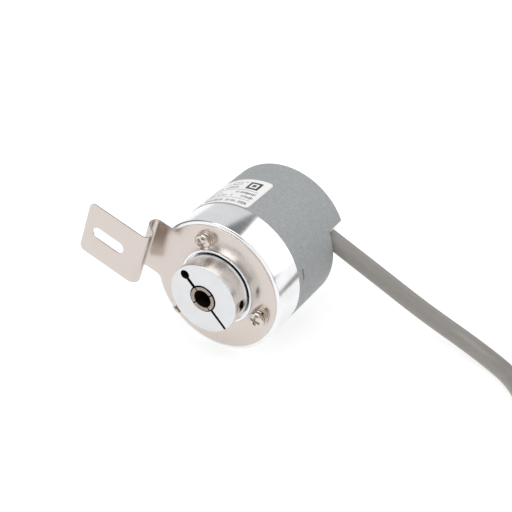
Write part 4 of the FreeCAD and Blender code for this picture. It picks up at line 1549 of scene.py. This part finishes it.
@dataclass
class Cable:
    """Round cable from the step wall to the floor, its put-away coil and its stripped end."""

    radius: float = 2.5
    exit: tuple[float, float, float] = (15.75, 31.25, 3.64)
    route: tuple[tuple[float, float, float], ...] = (
        (11.858, 31.25, 5.472),
        (29.5, 31.4, -2.8),
        (45.0, 31.6, -10.4),
        (61.0, 31.6, -16.5),
        (76.5, 23.5, -16.5),
        (86.1, 7.4, -16.5),
    )
    coil_centre: tuple[float, float] = (109.5, 27.0)
    coil_outer: float = 30.5
    pitch: float = 5.3
    floor: float = -16.5
    layer: float = 5.0
    first_angle: float = -140.0
    turns: float = 1.8
    climb: float = 0.15
    layers: int = 3
    per_turn: int = 16
    length: float = 1000.0
    cores: int = 5
    core_radius: float = 0.6
    core_circle: float = 1.1
    core_reaches: tuple[float, float, float] = (5.0, 11.0, 20.0)
    core_heading: float = -17.0
    core_spread: float = 9.0
    core_top: float = -3.3

    def coil(self) -> Array:
        """Points of the coil, wound inwards, outwards and inwards again, one layer above another.

        Over each layer the radius falls or grows by the pitch a turn, and between layers it stays while
        the height rises by one layer.

        Returns:
            The points, one row each.
        """
        stage = self.turns + self.climb
        start = np.arange(self.layers) * stage
        knots = np.stack([start, start + self.turns], -1).ravel()
        inwards = np.tile([0.0, self.turns, self.turns, 0.0], self.layers)[: 2 * self.layers]
        level = np.repeat(np.arange(self.layers), 2)
        whole = knots[-1]
        turn = np.linspace(0, whole, round(whole * self.per_turn) + 1)
        radius = self.coil_outer - self.pitch * np.interp(turn, knots, inwards)
        angle = np.radians(self.first_angle) + turn * TURN
        return np.stack(
            [
                self.coil_centre[0] + radius * np.cos(angle),
                self.coil_centre[1] + radius * np.sin(angle),
                self.floor + self.layer * np.interp(turn, knots, level),
            ],
            -1,
        )

    def curve(self, name: str, points: Array, radius: float) -> Part:
        """A smooth round tube on a NURBS line with the given control points.

        Args:
            name: Name of the piece.
            points: Control points in millimetres, one row each.
            radius: Radius of the tube.

        Returns:
            The tube, still a curve.
        """
        data = bpy.data.curves.new(name, "CURVE")
        data.dimensions = "3D"
        data.bevel_depth = radius * MM
        data.bevel_resolution = 8
        data.use_fill_caps = True
        data.resolution_u = 8
        spline = data.splines.new("NURBS")
        spline.points.add(len(points) - 1)
        weighted = np.concatenate([points * MM, np.ones((len(points), 1))], 1)
        spline.points.foreach_set("co", weighted.astype(np.float32).ravel())
        spline.order_u = 3
        spline.use_endpoint_u = True
        return piece_of(name, data)

    def build(self, finishes: Finishes) -> None:
        """Args:
            finishes: Makes and holds the materials.
        """
        coil = self.coil()
        cable = self.curve("cable_sheath", np.concatenate([np.array(self.route), coil]), self.radius)
        cable.data.materials.append(finishes.get(SHEATH))
        settle(cable, Body.HOUSING, "cable_grey", "cable", "cable_coil")
        ends = self.stripped_end(coil, finishes)

    def stripped_end(self, coil: Array, finishes: Finishes) -> Part:
        """Cores that leave the end of the sheath, rise over the next turn and fan out on top of it.

        Core k starts on a small circle in the sheath's end, and its later points lie along the heading
        turned by k times the spread.

        Args:
            coil: Points of the coil.
            finishes: Makes and holds the materials.

        Returns:
            The cores as one piece.
        """
        end, before = coil[-1], coil[-2]
        along = (end - before) / np.linalg.norm(end - before)
        aside = np.array([-along[1], along[0], 0.0])
        cores = []
        for k in range(self.cores):
            around = TURN * k / self.cores
            lift = np.array([0, 0, self.core_circle * math.sin(around)])
            root = end + aside * self.core_circle * math.cos(around) + lift
            heading = math.radians(self.core_heading + self.core_spread * ((self.cores - 1) / 2 - k))
            out = along * math.cos(heading) + aside * math.sin(heading)
            beyond = [root + out * reach for reach in self.core_reaches]
            points = np.array([root - along * 3, root + along * 2, *beyond])
            points[2:, 2] = [self.core_top + 0.2, self.core_top, self.core_top]
            core = self.curve(f"core_{k}", points, self.core_radius)
            mesh = bpy.data.meshes.new_from_object(core)
            bpy.data.objects.remove(core)
            paint(mesh, np.full(len(mesh.polygons), k))
            cores.append(piece_of(f"core_mesh_{k}", mesh))
        made = join("stripped_cores", cores)
        finishes.dress(made, *CORE_FINISHES)
        return settle(made, Body.HOUSING, "core_colour", "wire_ends")


# ---------------------------------------------------------------- what stays as the frame has it

KEPT_NODES: tuple[tuple[Finish, tuple[str, ...]], ...] = (
    (BEARING_STEEL, ("front_outer_race", "front_inner_race", "front_balls")),
    (BEARING_STEEL, ("rear_outer_race", "rear_inner_race", "rear_balls")),
    (BEARING_STEEL, ("bearing_shields", "inner_spacer", "wave_spring", "bearing_circlip")),
    (BRASS, ("front_cage", "rear_cage", "board_standoffs")),
    (RUBBER, ("dust_seal", "cap_o_ring")),
    (ALUMINIUM, ("outer_spacer", "disc_hub", "disc_ring")),
    (NICKEL, ("hub_screw", "board_screws", "cable_ferrule")),
    (DISC_GLASS, ("code_disc",)),
    (LED_LENS, ("led",)),
    (BLACK_PLASTIC, ("led_holder", "sensor_chip", "board_chips")),
    (SOLDER_MASK, ("main_board",)),
    (WHITE_PLASTIC, ("wire_connector",)),
    (SHEATH, ("lead_wires",)),
)


def dress_nodes(finishes: Finishes) -> None:
    """Give every node that keeps its shape its own finish.

    Args:
        finishes: Makes and holds the materials.
    """
    for finish, nodes in KEPT_NODES:
        for node in nodes:
            finishes.dress(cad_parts[node], finish)
            log.info("%s keeps its shape, in %s", node, finish.name)


# ---------------------------------------------------------------- the studio


@dataclass(frozen=True)
class Panel:
    """A soft rectangular light that faces the encoder.

    Its middle lies towards a direction and its first side runs across, made square to that. Its power
    is its radiance times pi and its area.
    """

    name: str
    towards: tuple[float, float, float]
    across: tuple[float, float, float]
    far: float
    size: tuple[float, float]
    radiance: float

    def build(self) -> None:
        """Make the light and set it at its distance."""
        data = bpy.data.lights.new(self.name, "AREA")
        data.shape = "RECTANGLE"
        data.size, data.size_y = self.size[0] * MM, self.size[1] * MM
        data.energy = self.radiance * math.pi * data.size * data.size_y
        back, across = Vector(self.towards).normalized(), Vector(self.across)
        side = (across - back * across.dot(back)).normalized()
        turn = Matrix((side, back.cross(side), back)).transposed()
        piece_of(self.name, data).matrix_world = Matrix.Translation(back * self.far * MM) @ turn.to_4x4()


@dataclass
class Studio:
    """White floor, large soft lights and the camera."""

    camera_place: tuple[float, float, float] = (146.18, -218.01, 182.46)
    azimuth: float = 31.595
    elevation: float = 33.399
    lens: float = 86.80
    floor: float = -19.0
    floor_size: float = 4000.0
    floor_glow: float = 0.76
    surround: float = 0.20
    panels: tuple[Panel, ...] = (
        Panel("right_softbox", (0.506, 0.711, 0.488), (-0.68, 0.0, 0.70), 900, (1010, 800), 1.3),
        Panel("left_softbox", (-0.59, 0.711, 0.383), (0.518, 0.0, 0.74), 900, (900, 700), 0.58),
        Panel("front_softbox", (0.55, -0.711, 0.44), (-0.68, 0.0, 0.70), 900, (900, 700), 0.92),
        Panel("front_left_softbox", (-0.59, -0.711, 0.383), (0.518, 0.0, 0.74), 900, (800, 600), 0.85),
        Panel("top_softbox", (-0.10, -0.20, 0.97), (1.0, 0.0, 0.0), 1000, (900, 900), 2.4),
    )

    def build(self) -> None:
        """Make the floor, the lights and the camera."""
        scene = bpy.context.scene
        scene.view_settings.view_transform = "Standard"
        self.make_floor()
        self.make_world(scene)
        for panel in self.panels:
            panel.build()
        self.make_camera(scene)

    def make_floor(self) -> None:
        """A flat matt sheet under the encoder that glows a little, so that shadows on it are faint."""
        side = np.array([-0.5, 0.5]) * self.floor_size
        across, back = np.meshgrid(side, side)
        floor = surface("floor", np.stack([across, back, 0 * across + self.floor], -1), closed=False)
        inputs = {
            "Base Color": (0.35, 0.35, 0.35, 1.0),
            "Roughness": 0.9,
            "Specular IOR Level": 0.0,
            "Emission Color": (1.0, 1.0, 1.0, 1.0),
            "Emission Strength": self.floor_glow,
        }
        floor.data.materials.append(Nodes("floor_white").finish(inputs))

    def make_world(self, scene: bpy.types.Scene) -> None:
        """An even grey surround.

        Args:
            scene: The scene to light.
        """
        world = bpy.data.worlds.new("surround")
        world.use_nodes = True
        background = world.node_tree.nodes["Background"]
        background.inputs["Color"].default_value = (0.97, 0.98, 1.0, 1.0)
        background.inputs["Strength"].default_value = self.surround
        scene.world = world

    def make_camera(self, scene: bpy.types.Scene) -> None:
        """The camera looks down on the encoder from the front right.

        Args:
            scene: The scene to view.
        """
        data = bpy.data.cameras.new("camera")
        data.lens = self.lens
        data.sensor_width = 36.0
        data.clip_start = 0.01
        camera = piece_of("camera", data)
        camera.location = Vector(self.camera_place) * MM
        camera.rotation_euler = (math.radians(90 - self.elevation), 0, math.radians(self.azimuth))
        scene.camera = camera


def main() -> None:
    """Build every piece, dress it and set up the studio."""
    logging.basicConfig(level=logging.INFO, format="%(message)s")
    finishes = Finishes()
    Studio().build()
    Cable().build(finishes)
    for assembly in (Flange, RearCap, TypeLabel, MountingPlate, PlateFasteners, ClampCollar, HollowShaft):
        assembly().build(finishes)
    dress_nodes(finishes)


if __name__ == "__main__":
    main()
